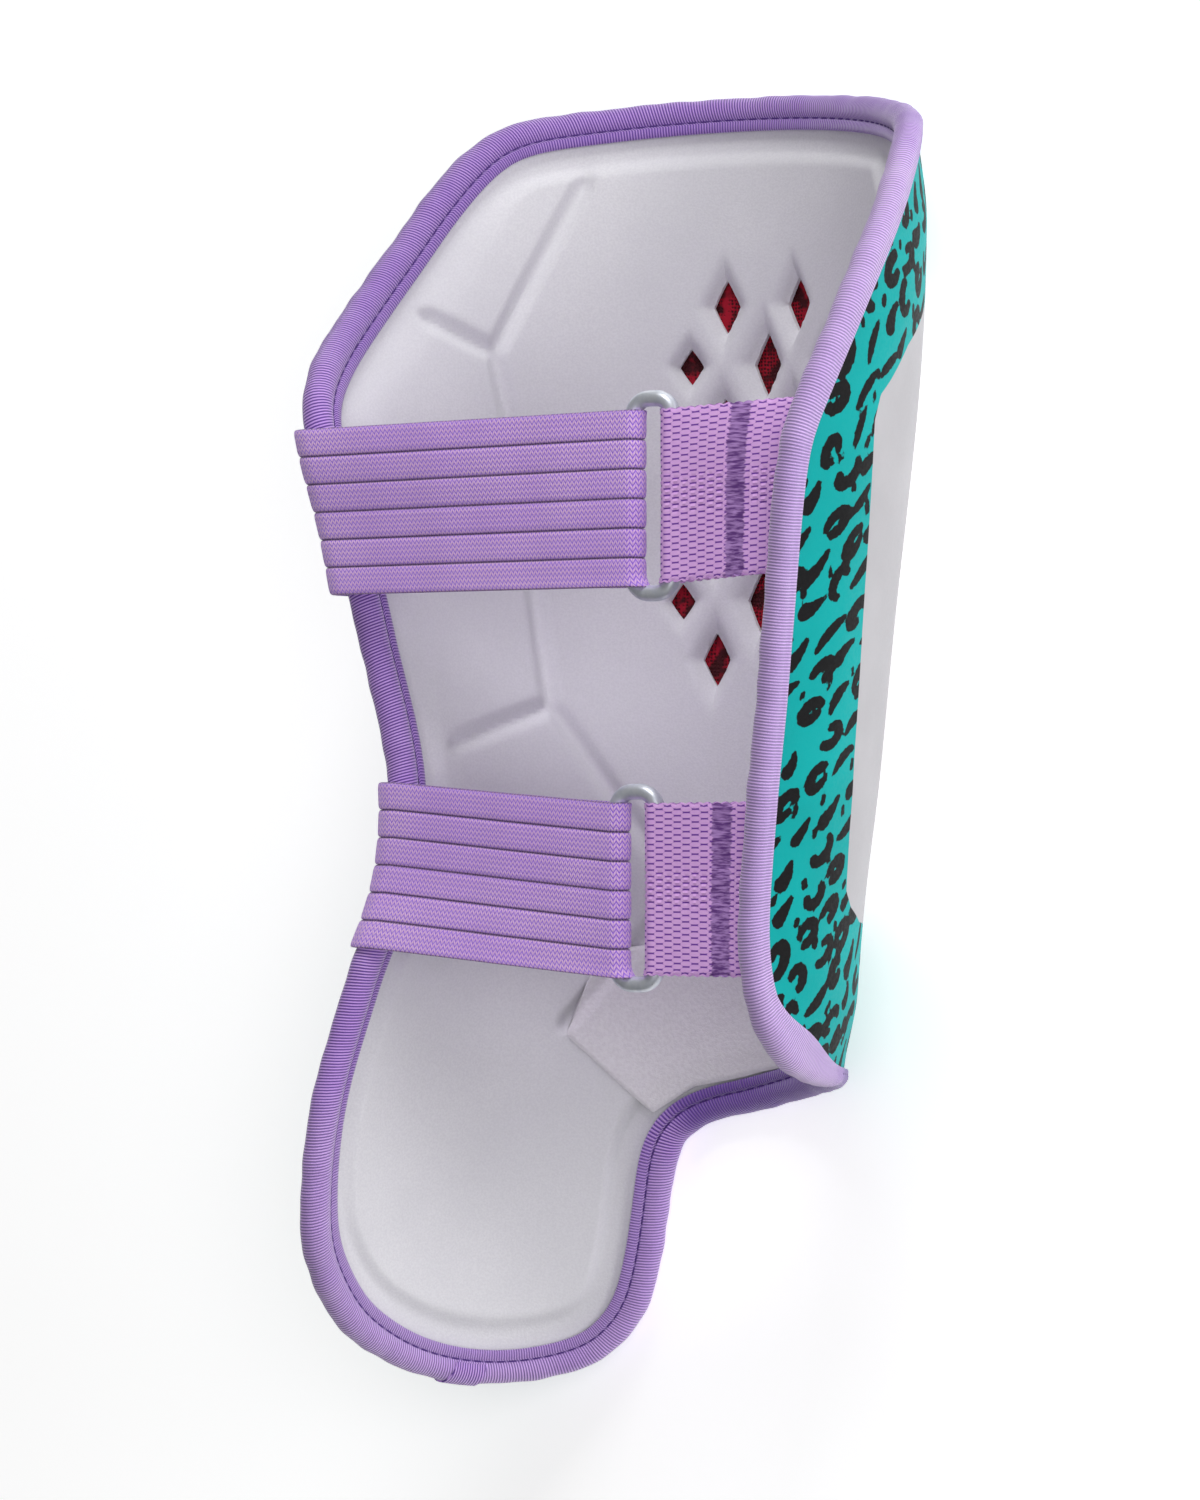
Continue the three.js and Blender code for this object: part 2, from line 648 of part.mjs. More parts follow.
const guard = new THREE.Group();
guard.add(part('outer_shell', shellGeometry(), FINISH.outer_shell));
guard.add(part('liner', linerGeometry(), FINISH.liner));
guard.add(part('vent_mesh', ventMeshGeometry(), FINISH.vent_mesh));
guard.add(part('edge_binding', bindingGeometry(), FINISH.edge_binding));
guard.add(part('ankle_patch', patchGeometry(), FINISH.ankle_patch));
STRAPS.forEach((strap) => {
  guard.add(part(`${strap.name}_elastic_strap`, elasticGeometry(strap), FINISH.elastic));
  guard.add(part(`${strap.name}_webbing_loop`, webbingGeometry(strap), FINISH.webbing));
  guard.add(part(`${strap.name}_ring`, ringGeometry(strap), FINISH.ring));
});

// Laid down, then set on the ground with the origin under its middle.
guard.rotation.set(degToRad(REST.pitch - 90), 0, degToRad(REST.roll));
guard.updateMatrixWorld(true);
const reach = new THREE.Box3().setFromObject(guard, true);
const middle = reach.getCenter(new THREE.Vector3());
guard.position.set(-middle.x, -middle.y, -reach.min.z);

export default guard;
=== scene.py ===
import math
import random

import bpy
import numpy as np
from mathutils import Matrix, Vector, kdtree


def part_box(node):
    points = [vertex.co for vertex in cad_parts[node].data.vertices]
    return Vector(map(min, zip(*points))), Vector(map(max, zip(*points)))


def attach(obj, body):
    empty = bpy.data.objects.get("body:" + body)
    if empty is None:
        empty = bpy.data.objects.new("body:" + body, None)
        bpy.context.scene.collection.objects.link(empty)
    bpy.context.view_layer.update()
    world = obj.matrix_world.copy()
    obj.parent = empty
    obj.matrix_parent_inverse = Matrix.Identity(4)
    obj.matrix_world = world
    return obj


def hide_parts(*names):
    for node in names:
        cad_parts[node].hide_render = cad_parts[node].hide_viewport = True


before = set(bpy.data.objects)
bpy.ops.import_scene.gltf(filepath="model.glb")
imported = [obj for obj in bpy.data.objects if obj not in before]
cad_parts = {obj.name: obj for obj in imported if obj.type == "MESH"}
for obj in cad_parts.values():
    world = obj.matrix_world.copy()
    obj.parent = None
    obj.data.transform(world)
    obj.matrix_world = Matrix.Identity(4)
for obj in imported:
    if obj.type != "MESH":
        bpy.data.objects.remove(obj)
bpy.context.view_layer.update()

# Driving dimensions, as in the part's source

BORDER_LIFT, RIM_TOP, FIELD_TOP = 2.6, 6.7, 9.4
SHELL_THICK, SHELL_GAP = 2.2, 0.3
BORDER_END, STEP_END, CROWN = 14.0, 18.0, 26.0
# The border's step is wider by this on both sides in the upper left.
SOFT_STEP, SOFT_WRAP, SOFT_Z = 8.0, (-45, -60), (190, 220)

# Sections of the padded inner face: z, left half, right half, depth, axis y.
SECTIONS = np.array([
    (0, 83, 62, 95, -11),
    (45, 81.5, 60, 90.5, -8),
    (90, 77.5, 57.5, 80, -3),
    (120, 71.5, 58.5, 74, 2),
    (150, 63, 61, 72, 4.5),
    (182, 60.5, 66.3, 75.5, 2.8),
    (225, 68.5, 73, 83, -2.6),
    (308, 82.5, 86, 98, -12.8),
    (388, 88, 90, 104, -19),
])

# Lines across the guard: left wrap, left z, right wrap, right z, arch.
ROWS = np.array([
    (-76, 11.5, -34, 8, -7),
    (-86, 21, -28.5, 16, -4),
    (-92.5, 31, -25.3, 25, 0),
    (-99.5, 45, -23, 40, 0),
    (-102.5, 58, -21.3, 55, 0),
    (-104.5, 70, -19.3, 70, 0),
    (-105.5, 79, -15.5, 78, 0),
    (-106, 85, -8, 82.5, 0),
    (-106, 90.5, 2, 85.5, 0),
    (-106, 95.5, 13, 88.4, 0),
    (-106, 100.5, 25, 91.4, 0),
    (-106, 105.5, 37, 94, 0),
    (-106, 110, 49, 96, 0),
    (-106, 114.5, 61, 97.3, 0),
    (-106, 118.5, 73, 98.6, 0),
    (-105.7, 123, 85, 102, 0),
    (-105.5, 128, 94, 109, 0),
    (-105, 134, 100.5, 118, 0),
    (-103.5, 142, 105, 130, 0),
    (-101, 155, 107.5, 148, 0),
    (-99, 180, 108, 180, 0),
    (-97.5, 205, 106.5, 205, 0),
    (-97, 230, 105.3, 230, 0),
    (-97, 255, 104.5, 255, 0),
    (-99, 278, 103, 277, 0),
    (-98, 293, 98.5, 292, 0),
    (-91.5, 306, 93.5, 306, 0.5),
    (-81.3, 322, 87, 322, 2),
    (-71, 340, 78, 340, 5),
    (-61, 360, 68, 357, 8.5),
    (-51, 377, 57, 369, 11.2),
])

# Pressed grooves of the left half as wrap and z, with the ends that fade out; the right half mirrors them.
GROOVE_HALF, GROOVE_DEPTH, GROOVE_FADE, GROOVE_STEP = 4.4, 2.9, 7.0, 0.8
GROOVES = [
    ([(-33.8, 366.8), (-54.5, 310.5)], (True, False)),
    ([(-70.2, 321.6), (-54.5, 310.5)], (True, False)),
    ([(-54.5, 310.5), (-52.1, 275), (-51.9, 237.4), (-51.8, 204.4)], (False, False)),
    ([(-51.8, 204.4), (-38.4, 179), (-17.7, 148.5)], (False, False)),
    ([(-84, 191.3), (-51.8, 204.4)], (True, False)),
    ([(-17.7, 148.5), (-35.9, 120.5), (-44.8, 105.5)], (False, True)),
]

# Diamond vents: lattice, then width and height of a hole by column from the middle outward.
VENT_WRAP, VENT_Z, VENT_ROW, VENT_STEP, VENT_STAGGER, VENT_ROWS = -0.5, 271.2, 17.65, 11.8, 1.4, 3
VENT_SIZES = [(9.2, 19.2), (8.6, 16.3), (7.5, 10.9)]
VENT_ROUND = 1.08
VENT_REACH = 2.25
VENT_DISH = 4.1
# Points round each cutter of a hole, and the lifts of its ends.
VENT_POINTS, VENT_CUT = 40, (-4.0, 12.0)
POCKET_DEPTH, POCKET_WRAP, POCKET_LOW, POCKET_HIGH = 1.6, 34, 207, 333
MESH_THICK, MESH_GAP, LINER_SHARP = 1.0, 0.1, 38

# Section of the bound edge: distance from the rim and lift, round the folded tape.
TAPE_SECTION = [
    (7.9, 1.5), (8.05, 0.9), (7.9, 0.4), (7.4, 0.12), (6.5, 0.0), (5.3, 0.15), (4.5, 0.85), (3.6, 0.2),
    (2.2, -0.15), (0.6, 0.0), (-0.7, 0.65), (-1.75, 1.8), (-2.4, 3.1), (-2.5, 4.3), (-2.35, 5.6),
    (-1.85, 6.75), (-1.0, 7.6), (0.0, 8.1), (0.8, 8.2), (1.4, 8.0), (2.0, 8.15), (2.6, 8.05),
    (2.95, 7.75), (2.9, 7.35),
    (2.4, 7.2), (0.2, 6.95), (-0.8, 5.8), (-0.95, 3.6), (-0.6, 2.2), (0.5, 1.6), (4.5, 1.75),
]
TAPE_OUTSIDE, TAPE_NOSE = slice(1, 23), slice(7, 20)
OUTER_LEG, LEGS_MIDDLE, STRIP_EDGE, DENT_LIFT, TAPE_RIB = 2.95, 4.0, (4.2, 5.4), 1.0, 0.87
# Small waves along the tape: height, reach over the fold, share of the lift, and counts round the rim.
PUFF, PUFF_REACH, PUFF_LIFT, PUFF_WAVES = 0.07, (-5, 1.5), 0.6, (31, 57, 83, 121)
LAP_LONG, LAP_SLANT, LAP_UNDER, LAP_OVER, LAP_POINTS = 10.4, -3.0, 0.1, 0.75, 25
# The outer leg is wider along the right rim, and more so at the corner below it.
RIGHT_WIDEN, RIGHT_WRAP = 1.2, (55, 75)
CORNER_WIDEN, CORNER_REACH, CORNER_SPOT = 5.5, 20.0, (87, 102)
# The tape carries painted light along the rim: painted highlight, strongest on the right rim and its corner
# and weaker on the flap, and painted shade, some on top and most at the ankle.
CORNER_Z, ANKLE_WRAP = (99.5, 101.5), (-22, -10)
TOP_Z, TOP_PAINTED_SHADE = (285, 315), 0.38
FLAP_Z, FLAP_PAINTED_HIGHLIGHT = (60, 120), 0.5
STITCH_SPOTS = [(4.5, 0.72, -1), (1.4, 7.9, 1)]
STITCH_LONG, STITCH_PITCH, STITCH_HALF, STITCH_SIDES, STITCH_SAG, STITCH_FLAT = 3.0, 4.0, 0.32, 8, 0.25, 0.8
# Rings of a stitch: share of its length and of its full width.
STITCH_ROUNDS = [(0, 0.35), (0.06, 0.8), (0.2, 1), (0.8, 1), (0.94, 0.8), (1, 0.35)]

# Straps, webbing and rings
STRAP_WIDE, STRAP_THICK, STRAP_RIBS, RIB_DEPTH = 48.0, 1.7, 6, 1.1
RIB_PLACES = [-1, -0.97, -0.93, -0.87, -0.78, -0.6, -0.3, 0, 0.3, 0.6, 0.78, 0.87, 0.93, 0.97, 1]
# Small waves along the elastic: height, length to a radian, start.
STRAP_WAVES = [(0.12, 7.3, 0), (0.08, 3.1, 1)]
FOLD_SPREAD, FOLD_RISE = 1.034, -0.7
TURN_INSET, TURN_LIFT, TURN_RADIUS = 2.0, 4.2, 7.6
STRAP_ON_WALL = [(44, 11.2), (30, 11.3), (15, 11.8)]
TAIL_LONG, TAIL_DROP, TAIL_GAP = 32.0, 16.0, 0.7
WEB_WIDE, WEB_THICK, WEB_RISE = 48.2, 1.2, -0.2
WEB_FRONT_END = [(36, -2.0), (23, -2.0), (15, -2.2), (12, -3.8)]
WEB_BACK_END = [(16, -5.8), (19, -4.3), (23, -3.9), (36, -3.9)]
RING_TALL, RING_WIDE, RING_WIRE, RING_CORNER, RING_CLEAR = 59.0, 17.8, 4.6, 5.4, 0.15
# Name, z at the left rim, z at the ring, share of the span to the ring, rise of the webbing at the wall,
# then the elastic's rise at the left turn, and how far in its lower and upper edges are there.
STRAPS = [
    ("upper", 262.0, 262.0, 0.712, 1.7, -2.0, -3.2, 1.5),
    ("lower", 158.2, 152.0, 0.679, -0.6, -0.6, 1.8, 1.8),
]

# Woven bricks of the webbing: distance between columns and rows, half length and half height, and rise.
BRICK_STEP, BRICK_PITCH, BRICK_LONG, BRICK_TALL, BRICK_RISE = 2.7, 1.8, 1.72, 0.74, 0.45
# Rows are this far apart along the webbing; points across its front and back.
WEB_ROW, WEB_FRONT, WEB_BACK = 0.42, 209, 53
BARTACK_FROM_RING, BARTACK_HALF, SELVEDGE = 21.0, 2.85, 0.5

# Rise towards the border, share of a groove's depth, thickness at the edge and more inside it, and gaps.
PATCH_SLOPE, PATCH_SINK, PATCH_THIN, PATCH_MORE, PATCH_FACE, PATCH_BACK = 1.2, 0.6, 0.25, 0.65, 0.25, 0.2
# Brushed patch: wrap, lower z, upper z.
PATCH_EDGES = np.array([
    (-42, 105.4, 107), (-39, 102, 122), (-36, 98.8, 131), (-22, 82, 133), (-13, 90, 133),
    (6, 95.4, 133), (25, 99, 132), (46, 102, 128), (66, 104.6, 120),
])

# Half of the bare front panel's edge as wrap and z, from its top to its bottom, then millimetres to a degree.
PANEL_EDGE = [
    (0, 331), (30, 329), (55.5, 320.8), (72.5, 304.9), (79.5, 294.8), (83, 290.4), (84.5, 283.4), (83, 248.2),
    (82, 218.2), (81.5, 190.6), (80, 170.1), (77.5, 152.4), (73.5, 147.6), (64.5, 142.9), (30, 139), (0, 138),
]
PANEL_PER_DEGREE = 1.55
# Cells of the print's loose lattice, its rows, and its columns to each side.
PRINT_CELL_WIDE, PRINT_CELL_TALL, PRINT_ROWS, PRINT_COLUMNS = 9.8, 12.2, 33, 18
# Stands for a distance where no edge of the print is near.
NO_EDGE = 4.0

# Backs of plates have every fourth row and column of their faces.
COARSE = 4
REST_PITCH, REST_ROLL = 2.36, -0.72
MM = 0.001

# Camera: turn round the guard, distance and height in millimetres, and its sensor and lens.
CAMERA_TURN, CAMERA_FAR, CAMERA_Z = math.radians(34), 1500.0, 191.0
SENSOR, LENS = 36.0, 126.0
FLOOR_HALF, WORLD_LIGHT = 6.0, 0.12
# Lights: upright direction from the guard's middle, distance in metres, size in metres, power in watts.
LIGHTS = [
    ("front", (0.56, -0.83, 0.0), 2.0, 1.4, 12),
    ("top", (0.15, -0.45, 0.88), 2.0, 1.0, 18),
    ("right", (0.97, -0.04, 0.22), 2.0, 1.2, 17),
    ("low", (0.4, -0.8, -0.5), 2.0, 1.4, 1.0),
]

# The wall's surface


def table_value(knots, values, at):
    """Smooth curve through a table's values, whose knots rise from row to row."""
    knots, values, at = (np.asarray(x, float) for x in (knots, values, at))
    last = len(knots) - 1
    low = np.maximum(np.arange(last + 1) - 1, 0)
    high = np.minimum(np.arange(last + 1) + 1, last)
    slopes = (values[high] - values[low]) / (knots[high] - knots[low])
    i = np.clip(np.searchsorted(knots, at) - 1, 0, last - 1)
    span = knots[i + 1] - knots[i]
    f = (at - knots[i]) / span
    f2, f3 = f * f, f * f * f
    start = (2 * f3 - 3 * f2 + 1) * values[i] + (f3 - 2 * f2 + f) * span * slopes[i]
    return start + (3 * f2 - 2 * f3) * values[i + 1] + (f3 - f2) * span * slopes[i + 1]


def smooth(x, low, high):
    t = np.clip((np.asarray(x, float) - low) / (high - low), 0, 1)
    return t * t * (3 - 2 * t)


def size(vectors):
    return np.linalg.norm(vectors, axis=-1)


def unit(vectors):
    return vectors / np.maximum(size(vectors)[..., None], 1e-12)


def floats(*values):
    """The values as arrays of one shape."""
    return np.broadcast_arrays(*(np.asarray(value, float) for value in values))


def along_path(path):
    """Distance along a row of points, from its start."""
    return np.concatenate([[0], np.cumsum(size(np.diff(path, axis=0)))])


def at_places(at, places, points):
    """Points at distances along a line whose own points are at known places."""
    return np.stack([np.interp(at, places, column) for column in points.T], axis=1)


def closed(run):
    """A run that ends with its first value again."""
    return np.concatenate([run, run[:1]])


def full_turn(count):
    """Angles once round, in equal steps."""
    return np.arange(count) / count * 2 * math.pi


def section_point(wrap, z):
    wrap, z = floats(wrap, z)
    left, right, depth, axis = (table_value(SECTIONS[:, 0], SECTIONS[:, k], z) for k in (1, 2, 3, 4))
    angle = np.radians(wrap)
    half = np.where(wrap < 0, left, right)
    return np.stack([half * np.sin(angle), axis + depth * np.cos(angle), z], axis=-1)


def wall_frame(wrap, z):
    """Directions along the section and up the wall, and the outward normal."""
    step = 0.5
    along = (section_point(wrap + step, z) - section_point(wrap - step, z)) / (2 * step)
    up = (section_point(wrap, z + step) - section_point(wrap, z - step)) / (2 * step)
    return along, up, unit(np.cross(up, along))


def wall_point(wrap, z, lift):
    wrap, z, lift = floats(wrap, z, lift)
    return section_point(wrap, z) + wall_frame(wrap, z)[2] * lift[..., None]


def net_spot(across, row):
    index = np.arange(len(ROWS))
    left_wrap, left_z, right_wrap, right_z, arch = (table_value(index, ROWS[:, k], row) for k in range(5))
    wrap = left_wrap + (right_wrap - left_wrap) * across
    return wrap, left_z + (right_z - left_z) * across + arch * 4 * across * (1 - across)


def even_rows(count):
    """Places of rows that are about equally far apart along both sides."""
    fine = np.linspace(0, len(ROWS) - 1, 1200)
    sides = [section_point(*net_spot(np.full_like(fine, side), fine)) for side in (0.0, 1.0)]
    step = sum(size(np.diff(side, axis=0)) for side in sides)
    length = np.concatenate([[0], np.cumsum(step)])
    return np.interp(np.linspace(0, length[-1], count), length, fine)


class Rim:
    """The guard's edge as a closed line of even steps with rounded corners, from the tape's lap on."""

    STEP, START = 1.4, 0.38
    ROUNDING, BROAD_ROUNDING, BROAD_REACH = 4, 7, 52.0
    BROAD_CORNER = (-51, 377)

    def __init__(self):
        side, share = even_rows(500), np.linspace(0, 1, 300)
        tip, top = np.zeros_like(share), np.full_like(share, len(ROWS) - 1)
        parts = [
            net_spot(self.START * share[::-1], tip),
            net_spot(np.zeros_like(side), side),
            net_spot(share, top),
            net_spot(np.ones_like(side), side[::-1]),
            net_spot(1 - (1 - self.START) * share, tip),
        ]
        wrap, z = (np.concatenate([part[k] for part in parts]) for k in (0, 1))
        length = along_path(section_point(wrap, z))
        count = int(length[-1] / self.STEP)
        at = np.arange(count) * length[-1] / count
        sharp = [np.interp(at, length, values) for values in (wrap, z)]
        far = size(section_point(*sharp) - section_point(*self.BROAD_CORNER))
        broad = 1 - smooth(far, self.BROAD_REACH / 2, self.BROAD_REACH)
        self.wrap, self.z = (
            self.rounded(run, self.ROUNDING) * (1 - broad) + self.rounded(run, self.BROAD_ROUNDING) * broad
            for run in sharp)
        self.line = section_point(self.wrap, self.z)
        ahead = unit(np.roll(self.line, -1, axis=0) - np.roll(self.line, 1, axis=0))
        along, up, normal = wall_frame(self.wrap, self.z)
        self.inward = unit(np.cross(normal, ahead))
        self.wrap_rate = (self.inward * along).sum(1) / (along * along).sum(1)
        self.z_rate = (self.inward * up).sum(1) / (up * up).sum(1)
        self.length = along_path(closed(self.line))
        self.tree = kdtree.KDTree(count)
        for index, point in enumerate(self.line):
            self.tree.insert(point, index)
        self.tree.balance()

    def rounded(self, values, width):
        reach = np.arange(-4 * width, 4 * width + 1)
        weight = np.exp(-0.5 * (reach / width) ** 2)
        rolled = sum(w * np.roll(values, shift) for w, shift in zip(weight, reach))
        return rolled / weight.sum()

    def spot(self, inset, at=slice(None)):
        return self.wrap[at] + self.wrap_rate[at] * inset, self.z[at] + self.z_rate[at] * inset

    def between(self, run, at):
        """A run of values along the rim, at distances along it."""
        return np.interp(at, self.length[:-1], run, period=self.length[-1])

    def nearest(self, points):
        """Signed distance inward from the rim, and the index of the nearest place on it."""
        flat = points.reshape(-1, 3)
        index = np.array([self.tree.find(point)[1] for point in flat])
        best = np.full(len(flat), np.inf)
        for other in (index - 1, (index + 1) % len(self.line)):
            start, span = self.line[index], self.line[other] - self.line[index]
            t = np.clip(((flat - start) * span).sum(1) / (span * span).sum(1), 0, 1)
            best = np.minimum(best, size(flat - start - t[:, None] * span))
        inside = ((flat - self.line[index]) * self.inward[index]).sum(1) >= 0
        return np.where(inside, best, -best).reshape(points.shape[:-1]), index.reshape(points.shape[:-1])


rim = Rim()


def border_lift(inset, wrap, z):
    """Lift of the pressed border, whose step is soft in the upper left."""
    left = smooth(-wrap, -SOFT_WRAP[0], -SOFT_WRAP[1])
    widen = SOFT_STEP * left * smooth(z, *SOFT_Z)
    return BORDER_LIFT * (1 - smooth(inset, BORDER_END - widen, STEP_END + widen))


def outer_lift(inset):
    return RIM_TOP + (FIELD_TOP - RIM_TOP) * smooth(inset, 0, CROWN)


def parting_lift(inset):
    return outer_lift(inset) - SHELL_THICK - SHELL_GAP


class Net:
    """An even net of spots over the wall, pulled in from the rim, with each spot's distance from the rim."""

    EDGE = 1.2

    def __init__(self, rows, columns):
        row, across = np.meshgrid(even_rows(rows), np.linspace(0, 1, columns), indexing="ij")
        self.wrap, self.z = net_spot(across, row)
        self.inset, index = rim.nearest(section_point(self.wrap, self.z))
        outside = self.inset < self.EDGE
        self.wrap[outside], self.z[outside] = rim.spot(self.EDGE, index[outside])
        self.inset[outside] = self.EDGE
        self.base = section_point(self.wrap, self.z)


# The guard's place in the shared frame


def rest_turn():
    pitch, roll = math.radians(REST_PITCH - 90), math.radians(REST_ROLL)
    return np.array((Matrix.Rotation(pitch, 3, "X") @ Matrix.Rotation(roll, 3, "Z")))


TURN = rest_turn()


def beside_rim(side, z, inset, lift):
    """A point beside the left or right rim, at a distance along the wall and a lift off the padding."""
    z, inset, lift = floats(z, inset, lift)
    wrap_column, z_column = (0, 1) if side < 0 else (2, 3)
    edge = table_value(ROWS[:, z_column], ROWS[:, wrap_column], z)
    per_degree = size(wall_frame(edge, z)[0])
    return wall_point(edge - side * inset / per_degree, z, lift)


class Layout:
    """The level line from the turn over the left rim to the webbing's seat, with the ring's middle on it."""

    def __init__(self, left_z, ring_z, share, wall_rise, turn_rise, low_in, high_in):
        start = beside_rim(-1, left_z, TURN_INSET - TURN_RADIUS, TURN_LIFT)
        seat = beside_rim(1, ring_z, *WEB_FRONT_END[-1])
        self.turn_z, self.ring_z, self.seat_z = left_z + turn_rise, ring_z, ring_z + wall_rise
        self.low_in, self.high_in = low_in, high_in
        self.ahead = unit((seat - start) * (1, 1, 0))
        self.to_opening = np.array((self.ahead[1], -self.ahead[0], 0))
        self.centre = start + (seat - start) * share
        self.centre[2] = ring_z

    def bar_turn(self, bar_side, level, thick, degrees):
        """A point at one height on the turn round the left or right bar of the ring."""
        straight = (RING_TALL - RING_WIRE) / 2 - RING_CORNER
        over = max(0.0, abs(level) - straight)
        reach = (RING_WIDE - RING_WIRE) / 2 - RING_CORNER + math.sqrt(RING_CORNER ** 2 - over ** 2)
        tilt = math.sqrt(1 - (over / RING_CORNER) ** 2)
        radius = RING_WIRE / 2 / tilt + RING_CLEAR + thick / 2
        angle = np.radians(degrees)[:, None]
        aside = bar_side * (reach - radius * np.cos(angle)) * self.ahead
        return self.centre + aside + radius * np.sin(angle) * self.to_opening + np.array((0, 0, level))


layouts = {name: Layout(*numbers) for name, *numbers in STRAPS}


def rest_shift():
    """Where the guard was laid down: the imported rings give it."""
    low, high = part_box("upper_ring")
    return np.array((low + high) / 2) / MM - TURN @ layouts["upper"].centre


SHIFT = rest_shift()


def to_frame(points):
    return (np.asarray(points, float) @ TURN.T + SHIFT) * MM


def direction(vector):
    return Vector(TURN @ np.asarray(vector, float))


# Camera, level with the guard's middle and seen from the open back


def make_camera():
    back = np.array((math.sin(CAMERA_TURN), -math.cos(CAMERA_TURN), 0))
    right = np.array((math.cos(CAMERA_TURN), math.sin(CAMERA_TURN), 0))
    camera = add_object("camera", bpy.data.cameras.new("camera"))
    camera.data.sensor_width, camera.data.lens = SENSOR, LENS
    camera.data.clip_start, camera.data.clip_end = 0.01, 50
    axes = [direction(right), direction((0, 0, 1)), direction(back)]
    place = Matrix(axes).transposed().to_4x4()
    place.translation = Vector(to_frame(np.array((0, 0, CAMERA_Z)) + back * CAMERA_FAR))
    camera.matrix_world = place
    bpy.context.scene.camera = camera

# Meshes


def add_object(name, data):
    item = bpy.data.objects.new(name, data)
    bpy.context.scene.collection.objects.link(item)
    return item


def numbered(rows, columns, start=0):
    """The numbers of the points in a grid."""
    return start + np.arange(rows * columns).reshape(rows, columns)


def grid_faces(index):
    corners = [index[:-1, :-1], index[1:, :-1], index[1:, 1:], index[:-1, 1:]]
    return np.stack(corners, axis=-1).reshape(-1, 4)


def shorter_split(points, quads):
    """The quads turned so that each splits along its shorter diagonal."""
    first = size(points[quads[:, 0]] - points[quads[:, 2]])
    second = size(points[quads[:, 1]] - points[quads[:, 3]])
    return np.where((second < first)[:, None], np.roll(quads, 1, axis=1), quads)


def tube_faces(rings, count, start=0, joined=False):
    """Faces of a tube through rings of as many points each, with closed ends or joined to a loop."""
    index = numbered(rings, count, start)
    ends = [] if joined else [index[0], index[-1][::-1]]
    path = closed(index) if joined else index
    return [*grid_faces(closed(path.T).T), *ends]


def make_piece(name, points, faces, values=None, sharp=40):
    """A smooth-shaded piece from upright millimetre points; values are named numbers at its points."""
    mesh = bpy.data.meshes.new(name)
    mesh.from_pydata(to_frame(points).tolist(), [], [list(map(int, face)) for face in faces])
    for key, numbers in (values or {}).items():
        attribute = mesh.attributes.new(key, "FLOAT", "POINT")
        attribute.data.foreach_set("value", np.ascontiguousarray(numbers, np.float32).ravel())
    mesh.validate()
    mesh.shade_smooth()
    mesh.set_sharp_from_angle(angle=math.radians(sharp))
    return add_object(name, mesh)


def grid_edge(index):
    """Points once round the edge of a grid, and the first again."""
    return [*index[:-1, 0], *index[-1, :-1], *index[:0:-1, -1], *index[0, ::-1]]


def plate(face, back, face_outward):
    """Points and faces of a closed plate with a fine face and a back of every fourth row and column."""
    thin = back[::COARSE, ::COARSE]
    index = numbered(*face.shape[:2])
    thin_index = numbered(*thin.shape[:2], index.size)
    turn = 1 if face_outward else -1
    faces = list(shorter_split(face.reshape(-1, 3), grid_faces(index)[:, ::turn]))
    faces += list(grid_faces(thin_index)[:, ::-turn])
    edge, thin_edge = grid_edge(index), grid_edge(thin_index)
    for k in range(len(thin_edge) - 1):
        side = [*thin_edge[k:k + 2], *edge[COARSE * k:COARSE * (k + 1) + 1][::-1]]
        faces.append(side[::turn])
    return np.concatenate([face.reshape(-1, 3), thin.reshape(-1, 3)]), faces


def plate_values(grid):
    """A value at each point of a plate, from its value over the face."""
    return np.concatenate([grid.ravel(), grid[::COARSE, ::COARSE].ravel()])


# Materials


def srgb(*levels):
    """A colour as it looks on screen, from 0 to 255, as the shader's own values."""
    shares = [level / 255 for level in levels]
    return (*(x / 12.92 if x <= 0.04045 else ((x + 0.055) / 1.055) ** 2.4 for x in shares), 1)


